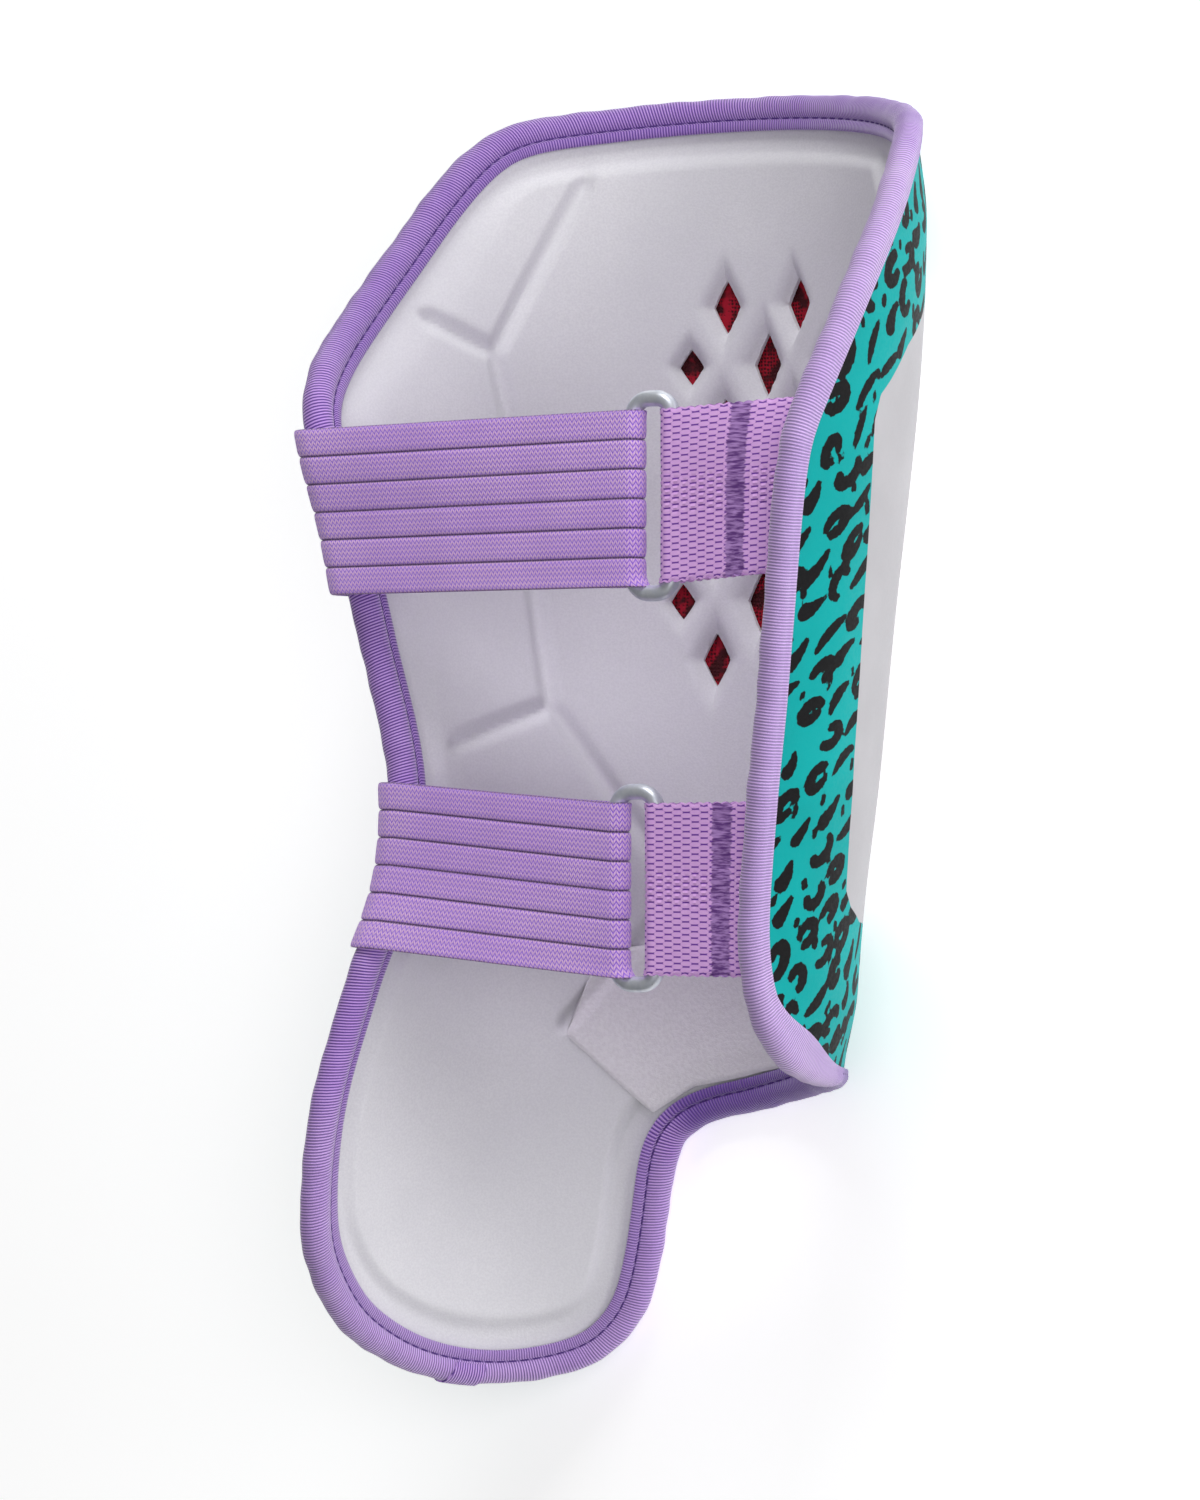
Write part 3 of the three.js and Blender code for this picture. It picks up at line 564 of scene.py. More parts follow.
class Look:
    """A material, made node by node."""

    def __init__(self, name, **sockets):
        self.material = bpy.data.materials.new(name)
        self.material.use_nodes = True
        self.tree = self.material.node_tree
        self.shader = self.tree.nodes["Principled BSDF"]
        for key, value in sockets.items():
            self.shader.inputs[key.replace("_", " ")].default_value = value

    def add(self, kind, inputs, **settings):
        node = self.tree.nodes.new("ShaderNode" + kind)
        for key, value in settings.items():
            setattr(node, key, value)
        for socket, value in inputs.items():
            self.put(value, node.inputs[socket])
        return node

    def put(self, value, socket):
        if isinstance(value, bpy.types.NodeSocket):
            self.tree.links.new(value, socket)
        else:
            socket.default_value = value

    def place(self):
        return self.add("TexCoord", {}).outputs["Object"]

    def number(self, name):
        return self.add("Attribute", {}, attribute_name=name).outputs["Fac"]

    def noise(self, scale, detail=2.0, stretch=(1, 1, 1)):
        spot = self.add("Mapping", {"Vector": self.place(), "Scale": stretch}).outputs["Vector"]
        return self.add("TexNoise", {"Vector": spot, "Scale": scale, "Detail": detail}).outputs["Fac"]

    def calc(self, operation, first, second=0.0, third=0.0):
        return self.add("Math", {0: first, 1: second, 2: third}, operation=operation).outputs[0]

    def times(self, first, second):
        return self.calc("MULTIPLY", first, second)

    def ramp(self, value, low, high, low_result=0.0, high_result=1.0):
        inputs = {"Value": value, 1: low, 2: high, 3: low_result, 4: high_result}
        return self.add("MapRange", inputs, interpolation_type="SMOOTHSTEP").outputs["Result"]

    def clouds(self, scale, detail, low_result=0.0, high_result=1.0):
        return self.ramp(self.noise(scale, detail), 0.3, 0.7, low_result, high_result)

    def mix(self, share, first, second):
        return self.add("Mix", {0: share, 6: first, 7: second}, data_type="RGBA").outputs[2]

    def bump(self, height, distance, strength=1.0):
        inputs = {"Height": height, "Distance": distance * MM, "Strength": strength}
        self.put(self.add("Bump", inputs).outputs["Normal"], self.shader.inputs["Normal"])

    def colour(self, value):
        self.put(value, self.shader.inputs["Base Color"])

    def roughness(self, value):
        self.put(value, self.shader.inputs["Roughness"])


def liner_look():
    look = Look("liner_cloth", Sheen_Weight=0.12, Sheen_Roughness=0.5, Specular_IOR_Level=0.35)
    tone = look.ramp(look.noise(16, 3), 0.35, 0.65)
    grain = look.clouds(1500, 3)
    base = look.mix(tone, srgb(229, 228, 233), srgb(236, 235, 239))
    look.colour(look.mix(look.times(grain, 0.35), base, srgb(212, 210, 217)))
    look.roughness(look.ramp(grain, 0, 1, 0.62, 0.74))
    look.bump(look.calc("ADD", grain, look.noise(5200, 1)), 0.05, 0.55)
    return look.material


def mesh_look():
    look = Look("vent_mesh_knit", Roughness=0.7, Specular_IOR_Level=0.3)
    cells = look.add("TexVoronoi", {"Vector": look.place(), "Scale": 900.0, "Randomness": 0.3})
    thread = look.ramp(cells.outputs["Distance"], 0.2, 0.5)
    shade = look.ramp(look.noise(170, 2), 0.4, 0.55)
    look.colour(look.mix(shade, srgb(64, 1, 12), look.mix(thread, srgb(70, 0, 14), srgb(168, 4, 38))))
    look.bump(thread, 0.3)
    return look.material


def shell_look():
    look = Look("printed_shell", Specular_IOR_Level=0.12)
    ragged = look.calc("MULTIPLY_ADD", look.noise(700, 2), 0.9, -0.45)
    ink = look.ramp(look.calc("ADD", look.number("print_edge"), ragged), -0.14, 0.14, 1.0, 0.0)
    cloudy = look.clouds(30, 3)
    teal = look.mix(cloudy, srgb(0, 166, 165), srgb(0, 174, 173))
    black = look.mix(look.noise(600, 2), srgb(10, 10, 12), srgb(20, 20, 22))
    printed = look.mix(ink, teal, black)
    grey = look.mix(cloudy, srgb(186, 184, 188), srgb(193, 191, 195))
    bare = look.ramp(look.number("panel_edge"), -0.12, 0.12, 1.0, 0.0)
    look.colour(look.mix(bare, printed, grey))
    look.roughness(look.clouds(900, 2, 0.5, 0.62))
    look.bump(look.noise(1500, 3), 0.06, 0.5)
    return look.material


def tape_look():
    look = Look("ribbed_tape", Sheen_Weight=0.6, Sheen_Roughness=0.45, Specular_IOR_Level=0.35)
    strip = look.number("strip")
    # tone carries the tape's painted highlight and painted shade along the rim.
    tone = look.number("tone")
    lean = look.times(look.ramp(strip, 0, 1, 0.22, 0.0), look.ramp(tone, 0, 1, 1.0, 0.4))
    slant = look.times(look.number("around"), lean)
    place = look.calc("ADD", look.number("along"), slant)
    wave = look.calc("SINE", look.times(place, 2 * math.pi / TAPE_RIB))
    rib = look.ramp(wave, -1, 1)
    cloudy = look.clouds(60, 3)
    fibre = look.noise(2600, 2)
    bright = look.mix(cloudy, srgb(206, 160, 242), srgb(218, 176, 248))
    dark = look.mix(fibre, srgb(100, 62, 154), srgb(118, 80, 174))
    ribbed = look.mix(look.ramp(rib, 0.05, 0.85), dark, bright)
    # Painted highlight where tone is above 0, and painted shade where it is below 0.
    painted_highlight = look.mix(look.ramp(tone, 0, 1, 0.0, 0.28), ribbed, srgb(240, 220, 250))
    deep = look.mix(look.ramp(tone, -1, 0, 0.7, 0.0), painted_highlight, srgb(92, 54, 156))
    shaded = look.mix(look.times(strip, 0.25), deep, dark)
    # Painted shade along the stitch line's dent.
    look.colour(look.mix(look.ramp(look.number("dent_painted_shade"), 0.35, 1.0, 0.0, 0.6), shaded, srgb(98, 62, 152)))
    look.roughness(look.ramp(rib, 0, 1, 0.85, 0.6))
    look.bump(look.calc("MULTIPLY_ADD", fibre, 0.25, rib), 0.2, 0.9)
    return look.material


def thread_look():
    look = Look("stitch_thread", Specular_IOR_Level=0.35)
    look.colour(look.mix(look.noise(1800, 2), srgb(70, 40, 114), srgb(90, 58, 140)))
    look.roughness(look.clouds(2500, 2, 0.5, 0.7))
    look.bump(look.noise(3000, 2), 0.1, 0.8)
    return look.material


def elastic_look():
    look = Look("ribbed_elastic", Sheen_Weight=0.7, Sheen_Roughness=0.45, Sheen_Tint=(0.8, 0.6, 1, 1))
    along, across = look.number("along"), look.number("across")
    zigzag = look.calc("PINGPONG", along, 0.7)
    row = look.calc("ADD", look.times(across, 1 / 1.5), look.times(zigzag, 1.2))
    strand = look.ramp(look.calc("PINGPONG", row, 0.5), 0.02, 0.3)
    crossing = look.ramp(look.calc("PINGPONG", along, 0.35), 0.0, 0.15, 0.5, 1.0)
    thread = look.times(strand, crossing)
    groove = look.ramp(look.number("rib_edge"), 0.86, 0.985)
    teeth = look.ramp(look.calc("PINGPONG", along, 0.45), 0.1, 0.35, 0.55, 1.0)
    cloudy = look.clouds(45, 3)
    fibre = look.noise(2600, 2)
    bright = look.mix(cloudy, srgb(242, 196, 255), srgb(250, 208, 255))
    dark = look.mix(fibre, srgb(156, 100, 244), srgb(174, 120, 255))
    knit = look.mix(thread, dark, bright)
    look.colour(look.mix(look.times(groove, teeth), knit, srgb(74, 54, 84)))
    look.roughness(look.ramp(thread, 0, 1, 0.9, 0.7))
    look.bump(look.calc("MULTIPLY_ADD", fibre, 0.3, thread), 0.25, 0.75)
    return look.material


def brick_nodes(look):
    """Height of the woven bricks, as in brick_height."""
    x = look.calc("PINGPONG", look.number("along"), BRICK_STEP)
    y = look.calc("PINGPONG", look.number("across"), BRICK_PITCH / 2)
    heights = []
    odd = (look.calc("SUBTRACT", BRICK_STEP, x), look.calc("SUBTRACT", BRICK_PITCH / 2, y))
    for along, across in ((x, y), odd):
        long = look.calc("POWER", look.calc("DIVIDE", along, BRICK_LONG), 4.0)
        tall = look.calc("POWER", look.calc("DIVIDE", across, BRICK_TALL), 2.0)
        heights.append(look.calc("SUBTRACT", 1.0, look.calc("ADD", long, tall)))
    return look.calc("SQRT", look.calc("MAXIMUM", look.calc("MAXIMUM", *heights), 0.0))


def webbing_look():
    look = Look("woven_webbing", Sheen_Weight=0.15, Sheen_Roughness=0.4, Specular_IOR_Level=0.4)
    brick = look.ramp(brick_nodes(look), 0.05, 0.72)
    fibre = look.noise(1500, 3, (0.35, 1, 1))
    bright = look.mix(fibre, srgb(236, 176, 255), srgb(250, 202, 255))
    # Dark in the slits and darkening towards each brick's edge; that darkening is painted shade of the
    # bricks' rounding.
    thread = look.mix(brick, srgb(118, 60, 172), bright)
    strand = look.ramp(look.noise(1500, 3, (0.12, 1, 1)), 0.35, 0.65)
    tack = look.mix(strand, srgb(106, 60, 138), srgb(194, 150, 220))
    ragged = look.calc("MULTIPLY_ADD", look.noise(1300, 2, (0.1, 1, 1)), 1.6, -0.8)
    bar = look.ramp(look.calc("ADD", look.number("bartack"), ragged), 0.3, 0.7)
    look.colour(look.mix(bar, thread, tack))
    look.roughness(look.ramp(brick, 0, 1, 0.8, 0.48))
    look.bump(fibre, 0.1, 0.5)
    return look.material


def ring_look():
    look = Look("satin_steel", Metallic=0.6)
    worn = look.clouds(500, 4)
    look.colour(look.mix(worn, srgb(212, 217, 227), srgb(228, 232, 239)))
    look.roughness(look.ramp(worn, 0, 1, 0.46, 0.34))
    look.bump(look.noise(2400, 3), 0.03, 0.5)
    return look.material


def patch_look():
    soft = {"Sheen_Weight": 0.35, "Sheen_Roughness": 0.6}
    look = Look("brushed_patch", Roughness=0.95, Specular_IOR_Level=0.15, **soft)
    nap = look.clouds(900, 4)
    fibre = look.noise(2600, 3)
    base = look.mix(nap, srgb(237, 233, 239), srgb(246, 243, 248))
    look.colour(look.mix(look.times(fibre, 0.3), base, srgb(214, 209, 217)))
    look.bump(look.calc("MULTIPLY_ADD", nap, 0.5, fibre), 0.2, 0.7)
    return look.material


def floor_look():
    glow = {"Emission_Color": (1, 1, 1, 1), "Emission_Strength": 0.5}
    look = Look("pale_floor", Roughness=0.9, Specular_IOR_Level=0.1, **glow)
    look.colour(look.mix(look.noise(3, 2), srgb(250, 250, 250), srgb(253, 253, 253)))
    return look.material


def settle(piece, slot, node, *materials):
    """Rides a piece on the guard in place of its CAD node, with its materials."""
    for material in materials:
        piece.data.materials.append(material)
    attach(piece, "root")
    if node:
        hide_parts(node)
    return piece


# Padded liner with its grooves and vents


def vent_spots():
    """Wrap, z, width and height of every vent."""
    spots = []
    for row in range(-VENT_ROWS, VENT_ROWS + 1):
        z = VENT_Z + row * VENT_ROW
        per_degree = size(wall_frame(VENT_WRAP, z)[0])
        aside = VENT_STAGGER if row % 2 == 0 else 0
        for step in ((-2, 0, 2) if row % 2 == 0 else (-1, 1)):
            spots.append((VENT_WRAP + (aside + step * VENT_STEP) / per_degree, z, *VENT_SIZES[abs(step)]))
    return spots


def vent_share(points, wrap, z, wide, tall):
    """How far points are from a vent's middle, as a share of the way to its hole's edge."""
    along, up, _ = wall_frame(wrap, z)
    off = points - section_point(wrap, z)
    x = np.abs(off @ unit(along)) / (wide / 2)
    y = np.abs(off @ unit(up)) / (tall / 2)
    return (x ** VENT_ROUND + y ** VENT_ROUND) ** (1 / VENT_ROUND)


def groove_lines():
    """Points along each groove with the share of the full depth at each."""
    lines = []
    for path, fades in GROOVES:
        for side in (-1, 1):
            corners = np.array(path, float) * (-side, 1)
            place = along_path(section_point(corners[:, 0], corners[:, 1]))
            count = int(place[-1] / GROOVE_STEP)
            at = np.linspace(0, place[-1], count)
            wrap, z = (table_value(place, corners[:, k], at) for k in (0, 1))
            depth = np.ones(count)
            for fades_out, far in zip(fades, (at, place[-1] - at)):
                if fades_out:
                    depth *= smooth(far, 0, GROOVE_FADE)
            lines.append((section_point(wrap, z), depth))
    return lines


def groove_depth(points):
    flat = points.reshape(-1, 3)
    result = np.zeros(len(flat))
    for line, depth in groove_lines():
        reach = size(line - line.mean(0)).max() + GROOVE_HALF
        near = np.flatnonzero(size(flat - line.mean(0)) < reach)
        far = size(flat[near, None] - line[None])
        share = np.clip(1 - far / (GROOVE_HALF * (0.45 + 0.55 * depth)), 0, 1)
        cut = (share * share * (3 - 2 * share) * depth * GROOVE_DEPTH).max(1)
        result[near] = np.maximum(result[near], cut)
    return result.reshape(points.shape[:-1])


def face_lift(net):
    """Lift of the padded face: pressed border, grooves and the dish round each vent."""
    dish = np.zeros_like(net.wrap)
    for spot in vent_spots():
        share = vent_share(net.base, *spot)
        depth = VENT_DISH * np.clip((VENT_REACH - share) / (VENT_REACH - 1), 0, 1) ** 2
        dish = np.maximum(dish, np.minimum(depth, VENT_DISH))
    return border_lift(net.inset, net.wrap, net.z) + groove_depth(net.base) + dish


def in_pocket(net):
    """Share of the mesh's pocket at each spot, with soft edges."""
    aside = smooth(POCKET_WRAP + 6 - np.abs(net.wrap - VENT_WRAP), 0, 5)
    above = smooth(net.z, POCKET_LOW - 7, POCKET_LOW - 2)
    below = smooth(-net.z, -POCKET_HIGH - 7, -POCKET_HIGH - 2)
    return aside * above * below


def vent_cutters():
    """One mesh of straight diamond prisms through the padding."""
    turn = full_turn(VENT_POINTS)
    x, y = (np.sign(side) * np.abs(side) ** (2 / VENT_ROUND) for side in (np.cos(turn), np.sin(turn)))
    points, faces = [], []
    for wrap, z, wide, tall in vent_spots():
        along, up, normal = wall_frame(wrap, z)
        outline = x[:, None] * unit(along) * wide / 2 + y[:, None] * unit(up) * tall / 2
        faces += tube_faces(len(VENT_CUT), VENT_POINTS, len(points))
        for lift in VENT_CUT:
            points.extend(section_point(wrap, z) + outline + normal * lift)
    return make_piece("vent_cutters", np.array(points), faces)


def cut(piece, cutter):
    change = piece.modifiers.new("cut", "BOOLEAN")
    change.object, change.operation, change.solver = cutter, "DIFFERENCE", "MANIFOLD"
    bpy.context.view_layer.update()
    result = bpy.data.meshes.new_from_object(piece.evaluated_get(bpy.context.evaluated_depsgraph_get()))
    piece.modifiers.clear()
    result.materials.clear()
    piece.data = result
    bpy.data.objects.remove(cutter)


net = Net(rows=321, columns=241)


def make_liner():
    face = wall_point(net.wrap, net.z, face_lift(net))
    back = wall_point(net.wrap, net.z, parting_lift(net.inset) - POCKET_DEPTH * in_pocket(net))
    piece = make_piece("liner_pad", *plate(face, back, False))
    cut(piece, vent_cutters())
    settle(piece, "liner", "liner", liner_look())
    piece.data.shade_smooth()
    piece.data.set_sharp_from_angle(angle=math.radians(LINER_SHARP))


def make_vent_mesh():
    wrap, z = np.meshgrid(
        VENT_WRAP + np.linspace(-POCKET_WRAP, POCKET_WRAP, 61), np.linspace(POCKET_LOW, POCKET_HIGH, 81))
    inset = rim.nearest(section_point(wrap, z))[0]
    face = wall_point(wrap, z, parting_lift(inset) - MESH_THICK)
    back = wall_point(wrap, z, parting_lift(inset) - MESH_GAP)
    piece = make_piece("vent_mesh_sheet", *plate(face, back, False))
    settle(piece, "vent_mesh", "vent_mesh", mesh_look())

# Printed outer shell


def arc_mark(draw):
    """A broken ring, open on one side."""
    wide, tall = draw.uniform(2.0, 2.7), draw.uniform(3.2, 4.8)
    turn = draw.uniform(0, 2 * math.pi) + np.linspace(0, draw.uniform(3.4, 5.2), 9)
    line = np.stack([wide * np.cos(turn), tall * np.sin(turn)], axis=1)
    return line, draw.uniform(1.7, 2.3) * (0.6 + 0.4 * np.sin(np.linspace(0.25, 2.6, 9)))


def bent_line(draw, place, bow, long):
    return np.stack([draw.uniform(-bow, bow) * place ** 2, draw.uniform(*long) * place], axis=1)


def drop_mark(draw):
    """A blot that tapers to one end."""
    line = bent_line(draw, np.linspace(-0.5, 0.5, 5), 3, (5, 9))
    return line, draw.uniform(2.1, 2.9) * np.linspace(1, 0.4, 5)


def streak_mark(draw):
    """A long curved line."""
    place = np.linspace(-0.5, 0.5, 9)
    line = bent_line(draw, place, 6, (9, 14))
    return line, draw.uniform(1.5, 2.1) * np.cos(place * 2.2)


def dot_mark(draw):
    line = np.array([(0, -0.5), (draw.uniform(-0.6, 0.6), 0.5)]) * draw.uniform(1, 2.6)
    return line, np.full(2, draw.uniform(0.9, 1.6))


MARKS = [arc_mark] * 10 + [drop_mark] * 5 + [streak_mark] * 4


def print_marks():
    """Marks in a staggered loose lattice over the unrolled wall, as lines with half widths."""
    draw = random.Random(7)
    marks = []
    for row in range(PRINT_ROWS):
        for step in range(-PRINT_COLUMNS, PRINT_COLUMNS + 1):
            z = (row + 0.5 * (step % 2) + draw.uniform(-0.14, 0.14)) * PRINT_CELL_TALL
            x = (step + draw.uniform(-0.14, 0.14)) * PRINT_CELL_WIDE
            lean = draw.uniform(-0.95, -0.1)
            turn = np.array([(math.cos(lean), -math.sin(lean)), (math.sin(lean), math.cos(lean))])
            line, half = draw.choice(MARKS)(draw)
            marks.append((line @ turn + (x, z), half))
            if draw.random() < 0.55:
                line, half = dot_mark(draw)
                aside = (x + PRINT_CELL_WIDE / 2, z + PRINT_CELL_TALL * draw.uniform(0.2, 0.4))
                marks.append((line + aside, half * 0.8))
    return marks


def chain_distance(spots, line, half):
    """Distance of spots from a thick line, negative inside it."""
    best = np.full(len(spots), np.inf)
    for k in range(len(line) - 1):
        span = line[k + 1] - line[k]
        t = np.clip((spots - line[k]) @ span / max(span @ span, 1e-9), 0, 1)
        far = size(spots - line[k] - t[:, None] * span)
        best = np.minimum(best, far - half[k] - t * (half[k + 1] - half[k]))
    return best


def print_edge(spots):
    result = np.full(len(spots), NO_EDGE)
    for line, half in print_marks():
        middle = line.mean(0)
        reach = np.abs(line - middle).max(0) + half.max() + 3
        near = np.flatnonzero((np.abs(spots - middle) < reach).all(1))
        result[near] = np.minimum(result[near], chain_distance(spots[near], line, half))
    return result


def panel_edge(wrap, z):
    """Distance from the bare panel's edge in millimetres, negative inside."""
    half = np.array(PANEL_EDGE[::-1], float) * (PANEL_PER_DEGREE, 1)
    spots = np.stack([np.abs(wrap).ravel() * PANEL_PER_DEGREE, z.ravel()], axis=1)
    far = chain_distance(spots, half, np.zeros(len(half)))
    inside = spots[:, 0] < np.interp(spots[:, 1], half[:, 1], half[:, 0], left=0, right=0)
    return np.where(inside, -far, far)


def unrolled(net):
    """Distance round the wall from its front line, and height, of each spot."""
    per_degree = size(wall_frame(net.wrap / 2, net.z)[0])
    return np.stack([(net.wrap * per_degree).ravel(), net.z.ravel()], axis=1)


def make_shell():
    face = wall_point(net.wrap, net.z, outer_lift(net.inset))
    back = wall_point(net.wrap, net.z, parting_lift(net.inset) + SHELL_GAP)
    points, faces = plate(face, back, True)
    spare = np.full(len(points) - net.wrap.size, NO_EDGE)
    values = {
        "print_edge": np.concatenate([print_edge(unrolled(net)), spare]),
        "panel_edge": np.concatenate([panel_edge(net.wrap, net.z), spare]),
    }
    settle(make_piece("shell_cover", points, faces, values), "outer_shell", "outer_shell", shell_look())

# Bound edge and its stitches


def tape_painted_light():
    """How much painted highlight, up to 1, or painted shade, down to -1, the tape has along the rim."""
    # Painted highlight on the right rim and the flap; painted shade at the ankle edge and on top.
    right = smooth(rim.wrap, *RIGHT_WRAP)
    ankle = (1 - smooth(rim.z, *CORNER_Z)) * smooth(rim.wrap, *ANKLE_WRAP)
    flap = FLAP_PAINTED_HIGHLIGHT * (1 - smooth(rim.z, *FLAP_Z)) * (1 - ankle)
    deep = np.maximum(ankle, TOP_PAINTED_SHADE * smooth(rim.z, *TOP_Z))
    return np.maximum(right, flap) - deep * (1 - right)


def tape_widening():
    """How much wider the outer leg is along the rim."""
    far = size(rim.line - section_point(*CORNER_SPOT))
    at_corner = np.exp(-(far / CORNER_REACH) ** 2)
    return np.maximum(RIGHT_WIDEN * smooth(rim.wrap, *RIGHT_WRAP), CORNER_WIDEN * at_corner)


def make_tape():
    draw = np.random.default_rng(3)
    section = np.array(TAPE_SECTION)
    count = len(rim.wrap)
    puff = sum(PUFF * np.sin(waves * full_turn(count) + draw.uniform(0, 6.28)) for waves in PUFF_WAVES)
    widen = tape_widening()
    rings = []
    for inset, lift in section:
        outside = smooth(-inset, *PUFF_REACH) * puff
        share = np.clip(inset / OUTER_LEG, 0, 1) * (lift > LEGS_MIDDLE)
        wrap, z = rim.spot(inset - outside + widen * share)
        rise = np.maximum(0, outer_lift(inset + widen) - outer_lift(inset)) * share
        rise = rise + outside * np.sign(lift - LEGS_MIDDLE) * PUFF_LIFT
        rings.append(wall_point(wrap, z, lift + rise))
    points = closed(np.stack(rings, axis=1))
    on_strip = smooth(section[:, 0], *STRIP_EDGE) * (section[:, 1] < LEGS_MIDDLE)
    # Painted shade along the stitch line, at the dent's point of the section.
    dent_painted_shade = (section[:, 0] == STITCH_SPOTS[0][0]) & (section[:, 1] < DENT_LIFT)
    values = {
        "along": np.repeat(rim.length, len(section)),
        "around": np.tile(along_path(section), count + 1),
        "strip": np.tile(on_strip, count + 1),
        # Painted light along the rim: painted highlight above 0, painted shade below 0.
        "tone": np.repeat(closed(tape_painted_light()), len(section)),
        "dent_painted_shade": np.tile(dent_painted_shade, count + 1),
    }
    piece = make_piece("edge_tape", points.reshape(-1, 3), tube_faces(*points.shape[:2]), values, 60)
    settle(piece, "edge_binding", "edge_binding", tape_look())


def make_lap():
    """The tape's end, laid slantwise over its start at the flap's tip."""
    nose = np.array(TAPE_SECTION)[TAPE_NOSE]
    place = along_path(nose)
    at = np.linspace(0, place[-1], LAP_POINTS)
    middle = at_places(at, place, nose)
    ahead = unit(np.gradient(middle, axis=0))
    outward = np.stack([-ahead[:, 1], ahead[:, 0]], axis=1)
    along = np.linspace(-0.5, 0.5, LAP_POINTS) * LAP_LONG
    slant = LAP_SLANT * at / place[-1]
    grids = []
    for stand in (LAP_OVER, LAP_UNDER):
        columns = []
        for (inset, lift), shift in zip(middle + outward * stand, slant):
            wrap, z = (rim.between(run, along - shift) for run in rim.spot(inset))
            columns.append(wall_point(wrap, z, lift))
        grids.append(np.stack(columns, axis=1))
    points, faces = plate(*grids, True)
    values = {
        "along": plate_values(np.repeat(along[:, None], LAP_POINTS, axis=1)),
        "around": plate_values(np.repeat(at[None], LAP_POINTS, axis=0)),
        **{name: np.zeros(len(points)) for name in ("strip", "tone", "dent_painted_shade")},
    }
    piece = make_piece("edge_tape_end", points, faces, values, 60)
    settle(piece, "edge_binding", None, tape_look())


def make_stitches():
    """Short rounded dashes along both legs of the tape."""
    turn = full_turn(STITCH_SIDES)[:, None]
    total = int(rim.length[-1] / STITCH_PITCH)
    share, scale = np.array(STITCH_ROUNDS).T
    sag = STITCH_SAG * (share * 2 - 1) ** 2
    points, faces = [], []
    for inset, lift, outward in STITCH_SPOTS:
        wrap, z = rim.spot(inset)
        line = closed(wall_point(wrap, z, lift))
        normal = closed(wall_frame(wrap, z)[2] * outward)
        for start in np.arange(total) * rim.length[-1] / total:
            at = start + share * STITCH_LONG
            middle = at_places(at, rim.length, line)
            up = unit(at_places(at, rim.length, normal))
            aside = unit(np.cross(up, unit(middle[-1] - middle[0])))
            ring = np.cos(turn) * aside[:, None] + np.sin(turn) * up[:, None] * STITCH_FLAT
            ring = ring * STITCH_HALF * scale[:, None, None] + (middle - up * sag[:, None])[:, None]
            faces += tube_faces(len(share), STITCH_SIDES, len(points))
            points.extend(ring.reshape(-1, 3))
    piece = make_piece("edge_stitches", np.array(points), faces, sharp=75)
    settle(piece, "edge_binding", None, thread_look())

# Straps, webbing and rings


def sweep(name, paths, offsets, values):
    """A ribbon through paths, one for each place of its section, pushed sideways by each place's offsets."""
    rows = len(paths[0])
    columns = []
    for path, offset in zip(paths, offsets):
        ahead = unit(np.gradient(path, axis=0) * (1, 1, 0))
        right = np.stack([ahead[:, 1], -ahead[:, 0], np.zeros(rows)], axis=1)
        columns.append(path + right * np.broadcast_to(offset, rows)[:, None])
    points = np.stack(columns, axis=1)
    return make_piece(name, points.reshape(-1, 3), tube_faces(*points.shape[:2]), values, 50)


def strap_path(layout, level):
    """The elastic's middle line at one height of its width, from the left wall to its tucked end."""
    inset = np.linspace(STRAP_ON_WALL[0][0], TURN_INSET, 28)[:-1]
    table = sorted(STRAP_ON_WALL + [(TURN_INSET, TURN_LIFT + TURN_RADIUS)])
    lift = np.interp(inset, [p[0] for p in table], [p[1] for p in table])
    turn = np.radians(np.linspace(90, 0, 13))
    inset = np.concatenate([inset, TURN_INSET - TURN_RADIUS * np.cos(turn)])
    lift = np.concatenate([lift, TURN_LIFT + TURN_RADIUS * np.sin(turn)])
    pull = layout.low_in + (layout.high_in - layout.low_in) * (level / STRAP_WIDE + 0.5)
    inset = inset + pull * (1 - smooth(inset, TURN_INSET, STRAP_ON_WALL[1][0]))
    on_wall = beside_rim(-1, layout.turn_z + level, inset, lift)
    on_wall[:, 2] = layout.turn_z + level
    fold = layout.bar_turn(-1, level * FOLD_SPREAD + FOLD_RISE, STRAP_THICK, np.linspace(90, -90, 19))
    share = np.linspace(0, 1, 90)[1:-1, None]
    span = on_wall[-1] + (fold[0] - on_wall[-1]) * share
    back = unit(on_wall[-1] - fold[0])
    far = np.linspace(0, TAIL_LONG, 28)[1:, None]
    deep = size(fold[0] - fold[-1])
    drop = deep + (STRAP_THICK + TAIL_GAP - deep) * smooth(far, 0, TAIL_DROP)
    tail = fold[0] + back * far - layout.to_opening * drop
    return np.concatenate([on_wall, span, fold, tail])


def rib_section():
    """Height across the strap, face offset and place in the rib, round the ribbed section."""
    face, half = STRAP_THICK / 2, STRAP_WIDE / 2
    rib = STRAP_WIDE / STRAP_RIBS
    rows = []
    for k in range(STRAP_RIBS):
        for t in RIB_PLACES[(0 if k == 0 else 1):]:
            round_off = 1 - (1 - abs(t) ** 6) ** (1 / 2.2)
            rows.append((-half + (k + 0.5 + t / 2) * rib, face - RIB_DEPTH * round_off, abs(t)))
    for level in np.linspace(half, -half, 13):
        rows.append((level, -face, 0.0))
    return rows


def make_elastic(name, layout):
    levels, faces, edges = np.array(rib_section()).T
    paths = [strap_path(layout, level) for level in levels]
    along = along_path(paths[len(paths) // 3])
    wave = sum(tall * np.sin(along / long + start) for tall, long, start in STRAP_WAVES)
    values = {
        "along": np.repeat(along, len(levels)),
        "across": np.tile(levels, len(along)),
        "rib_edge": np.tile(edges, len(along)),
    }
    piece = sweep(f"{name}_elastic", paths, faces[:, None] + wave, values)
    settle(piece, "elastic", f"{name}_elastic_strap", elastic_look())


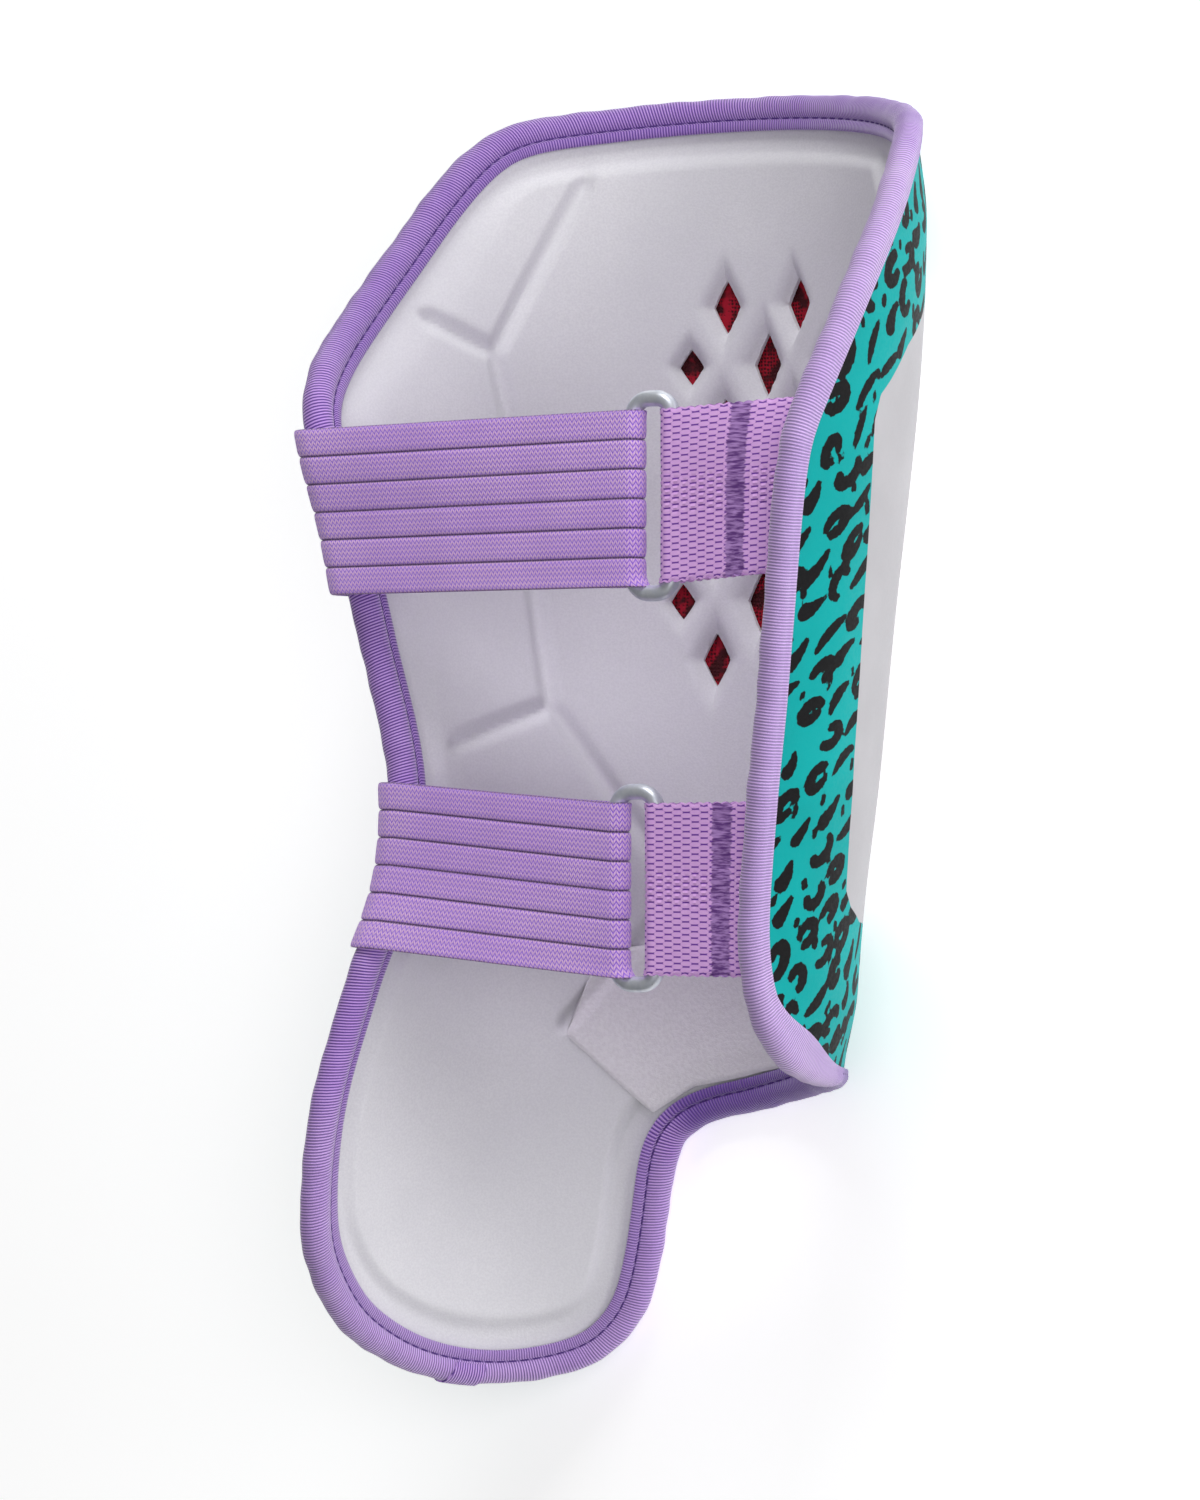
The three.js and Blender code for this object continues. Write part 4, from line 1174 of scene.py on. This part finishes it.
def brick_height(along, across):
    """Height of the woven bricks, from 0 in the slits to 1."""
    x = np.abs((along + BRICK_STEP) % (2 * BRICK_STEP) - BRICK_STEP)
    y = np.abs((across + BRICK_PITCH / 2) % BRICK_PITCH - BRICK_PITCH / 2)
    even = 1 - (x / BRICK_LONG) ** 4 - (y / BRICK_TALL) ** 2
    odd = 1 - ((BRICK_STEP - x) / BRICK_LONG) ** 4 - ((BRICK_PITCH / 2 - y) / BRICK_TALL) ** 2
    return np.sqrt(np.clip(np.maximum(even, odd), 0, 1))


def web_path(layout, level):
    """The webbing's middle line at one height, from the wall round the ring's bar and back to the wall."""
    seat = layout.seat_z + level
    ends = [beside_rim(1, seat, *np.array(end, float).T) for end in (WEB_FRONT_END, WEB_BACK_END)]
    fold = layout.bar_turn(1, level + WEB_RISE, WEB_THICK, np.linspace(90, -90, 9))
    corners = np.concatenate([ends[0], fold, ends[1]])
    return corners, along_path(corners), along_path(np.concatenate([ends[0], fold[:1]]))[-1]


def make_webbing(name, layout):
    half, face = WEB_WIDE / 2, WEB_THICK / 2
    _, place, to_ring = web_path(layout, 0.0)
    rows = int(place[-1] / WEB_ROW)
    share = np.linspace(0, 1, rows)
    levels = np.concatenate([np.linspace(-half, half, WEB_FRONT), np.linspace(half, -half, WEB_BACK)])
    along = share * place[-1]
    loops = np.abs(np.sin(math.pi * along / BRICK_STEP)) - 0.5
    bartack = smooth(BARTACK_HALF + 1.1 - np.abs(along - to_ring + BARTACK_FROM_RING), 0, 2.2)
    paths, offsets = [], []
    for k, level in enumerate(levels):
        corners, at, _ = web_path(layout, level)
        path = np.stack([table_value(at / at[-1], column, share) for column in corners.T], axis=1)
        path[:, 2] += np.sign(level) * smooth(abs(level), half - 1.6, half) * SELVEDGE * loops
        paths.append(path)
        side = 1 if k < WEB_FRONT else -1
        rounded = 1 - np.clip((abs(level) - half + 1.2) / 1.2, 0, 1) ** 3 * 0.7
        thread = 0.5 + 0.3 * math.sin(level * 2 * math.pi / 0.85)
        relief = BRICK_RISE * (brick_height(along, level) * (1 - bartack) + bartack * thread)
        offsets.append(side * (face * rounded - BRICK_RISE + relief))
    count = len(levels)
    values = {
        "along": np.repeat(along, count),
        "across": np.tile(levels, rows),
        "bartack": np.repeat(bartack, count),
    }
    piece = sweep(f"{name}_webbing", paths, offsets, values)
    settle(piece, "webbing", f"{name}_webbing_loop", webbing_look())


def make_ring(name, layout):
    across = (RING_WIDE - RING_WIRE) / 2 - RING_CORNER
    up = (RING_TALL - RING_WIRE) / 2 - RING_CORNER
    sides, steps = 20, 14
    turn = full_turn(sides)[:, None]
    rings = []
    for quarter, (x, y) in enumerate([(1, 1), (-1, 1), (-1, -1), (1, -1)]):
        for angle in (quarter + np.linspace(0, 1, steps)) * math.pi / 2:
            out = layout.ahead * math.cos(angle) + np.array((0, 0, math.sin(angle)))
            middle = layout.centre + layout.ahead * x * across + np.array((0, 0, y * up)) + out * RING_CORNER
            ring = np.cos(turn) * out + np.sin(turn) * layout.to_opening
            rings.append(middle + ring * RING_WIRE / 2)
    points = np.array(rings)
    faces = tube_faces(len(points), sides, joined=True)
    piece = make_piece(f"{name}_wire_ring", points.reshape(-1, 3), faces)
    settle(piece, "ring", f"{name}_ring", ring_look())

# Brushed patch over the ankle


def make_patch():
    wrap = np.linspace(PATCH_EDGES[0, 0], PATCH_EDGES[-1, 0], 161)[None]
    share = np.linspace(0, 1, 61)[:, None]
    low, high = (np.interp(wrap, PATCH_EDGES[:, 0], PATCH_EDGES[:, k]) for k in (1, 2))
    z = low + (high - low) * share
    wrap = np.broadcast_to(wrap, z.shape)
    base = section_point(wrap, z)
    lift = PATCH_SLOPE * (1 - smooth(rim.nearest(base)[0], 6, STEP_END)) + PATCH_SINK * groove_depth(base)
    edge = np.minimum(np.minimum(share, 1 - share) * (high - low), 4)
    thick = PATCH_THIN + PATCH_MORE * smooth(edge, 0, 1.2)
    face = wall_point(wrap, z, lift - PATCH_FACE - thick)
    back = wall_point(wrap, z, lift - PATCH_BACK)
    piece = make_piece("ankle_cloth", *plate(face, back, False))
    settle(piece, "ankle_patch", "ankle_patch", patch_look())

# Floor and light


def make_floor():
    mesh = bpy.data.meshes.new("floor")
    corners = [(x * FLOOR_HALF, y * FLOOR_HALF, 0) for x, y in ((-1, -1), (1, -1), (1, 1), (-1, 1))]
    mesh.from_pydata(corners, [], [(0, 1, 2, 3)])
    mesh.materials.append(floor_look())
    add_object("floor", mesh)


def make_lights():
    middle = Vector(to_frame((0, 0, CAMERA_Z)))
    for name, toward, far, across, power in LIGHTS:
        light = add_object(name, bpy.data.lights.new(name, "AREA"))
        light.data.shape, light.data.size, light.data.energy = "DISK", across, power
        way = direction(toward).normalized()
        light.location = middle + way * far
        light.rotation_mode = "QUATERNION"
        light.rotation_quaternion = way.to_track_quat("Z", "Y")


def make_world():
    world = bpy.data.worlds.new("studio")
    world.use_nodes = True
    sky = world.node_tree.nodes["Background"].inputs
    sky["Color"].default_value = (1, 1, 1, 1)
    sky["Strength"].default_value = WORLD_LIGHT
    bpy.context.scene.world = world
    bpy.context.scene.view_settings.view_transform = "Standard"


make_camera()
make_liner()
make_vent_mesh()
make_shell()
make_tape()
make_lap()
make_stitches()
for strap_name, strap_layout in layouts.items():
    make_ring(strap_name, strap_layout)
    make_elastic(strap_name, strap_layout)
    make_webbing(strap_name, strap_layout)
make_patch()
make_floor()
make_lights()
make_world()
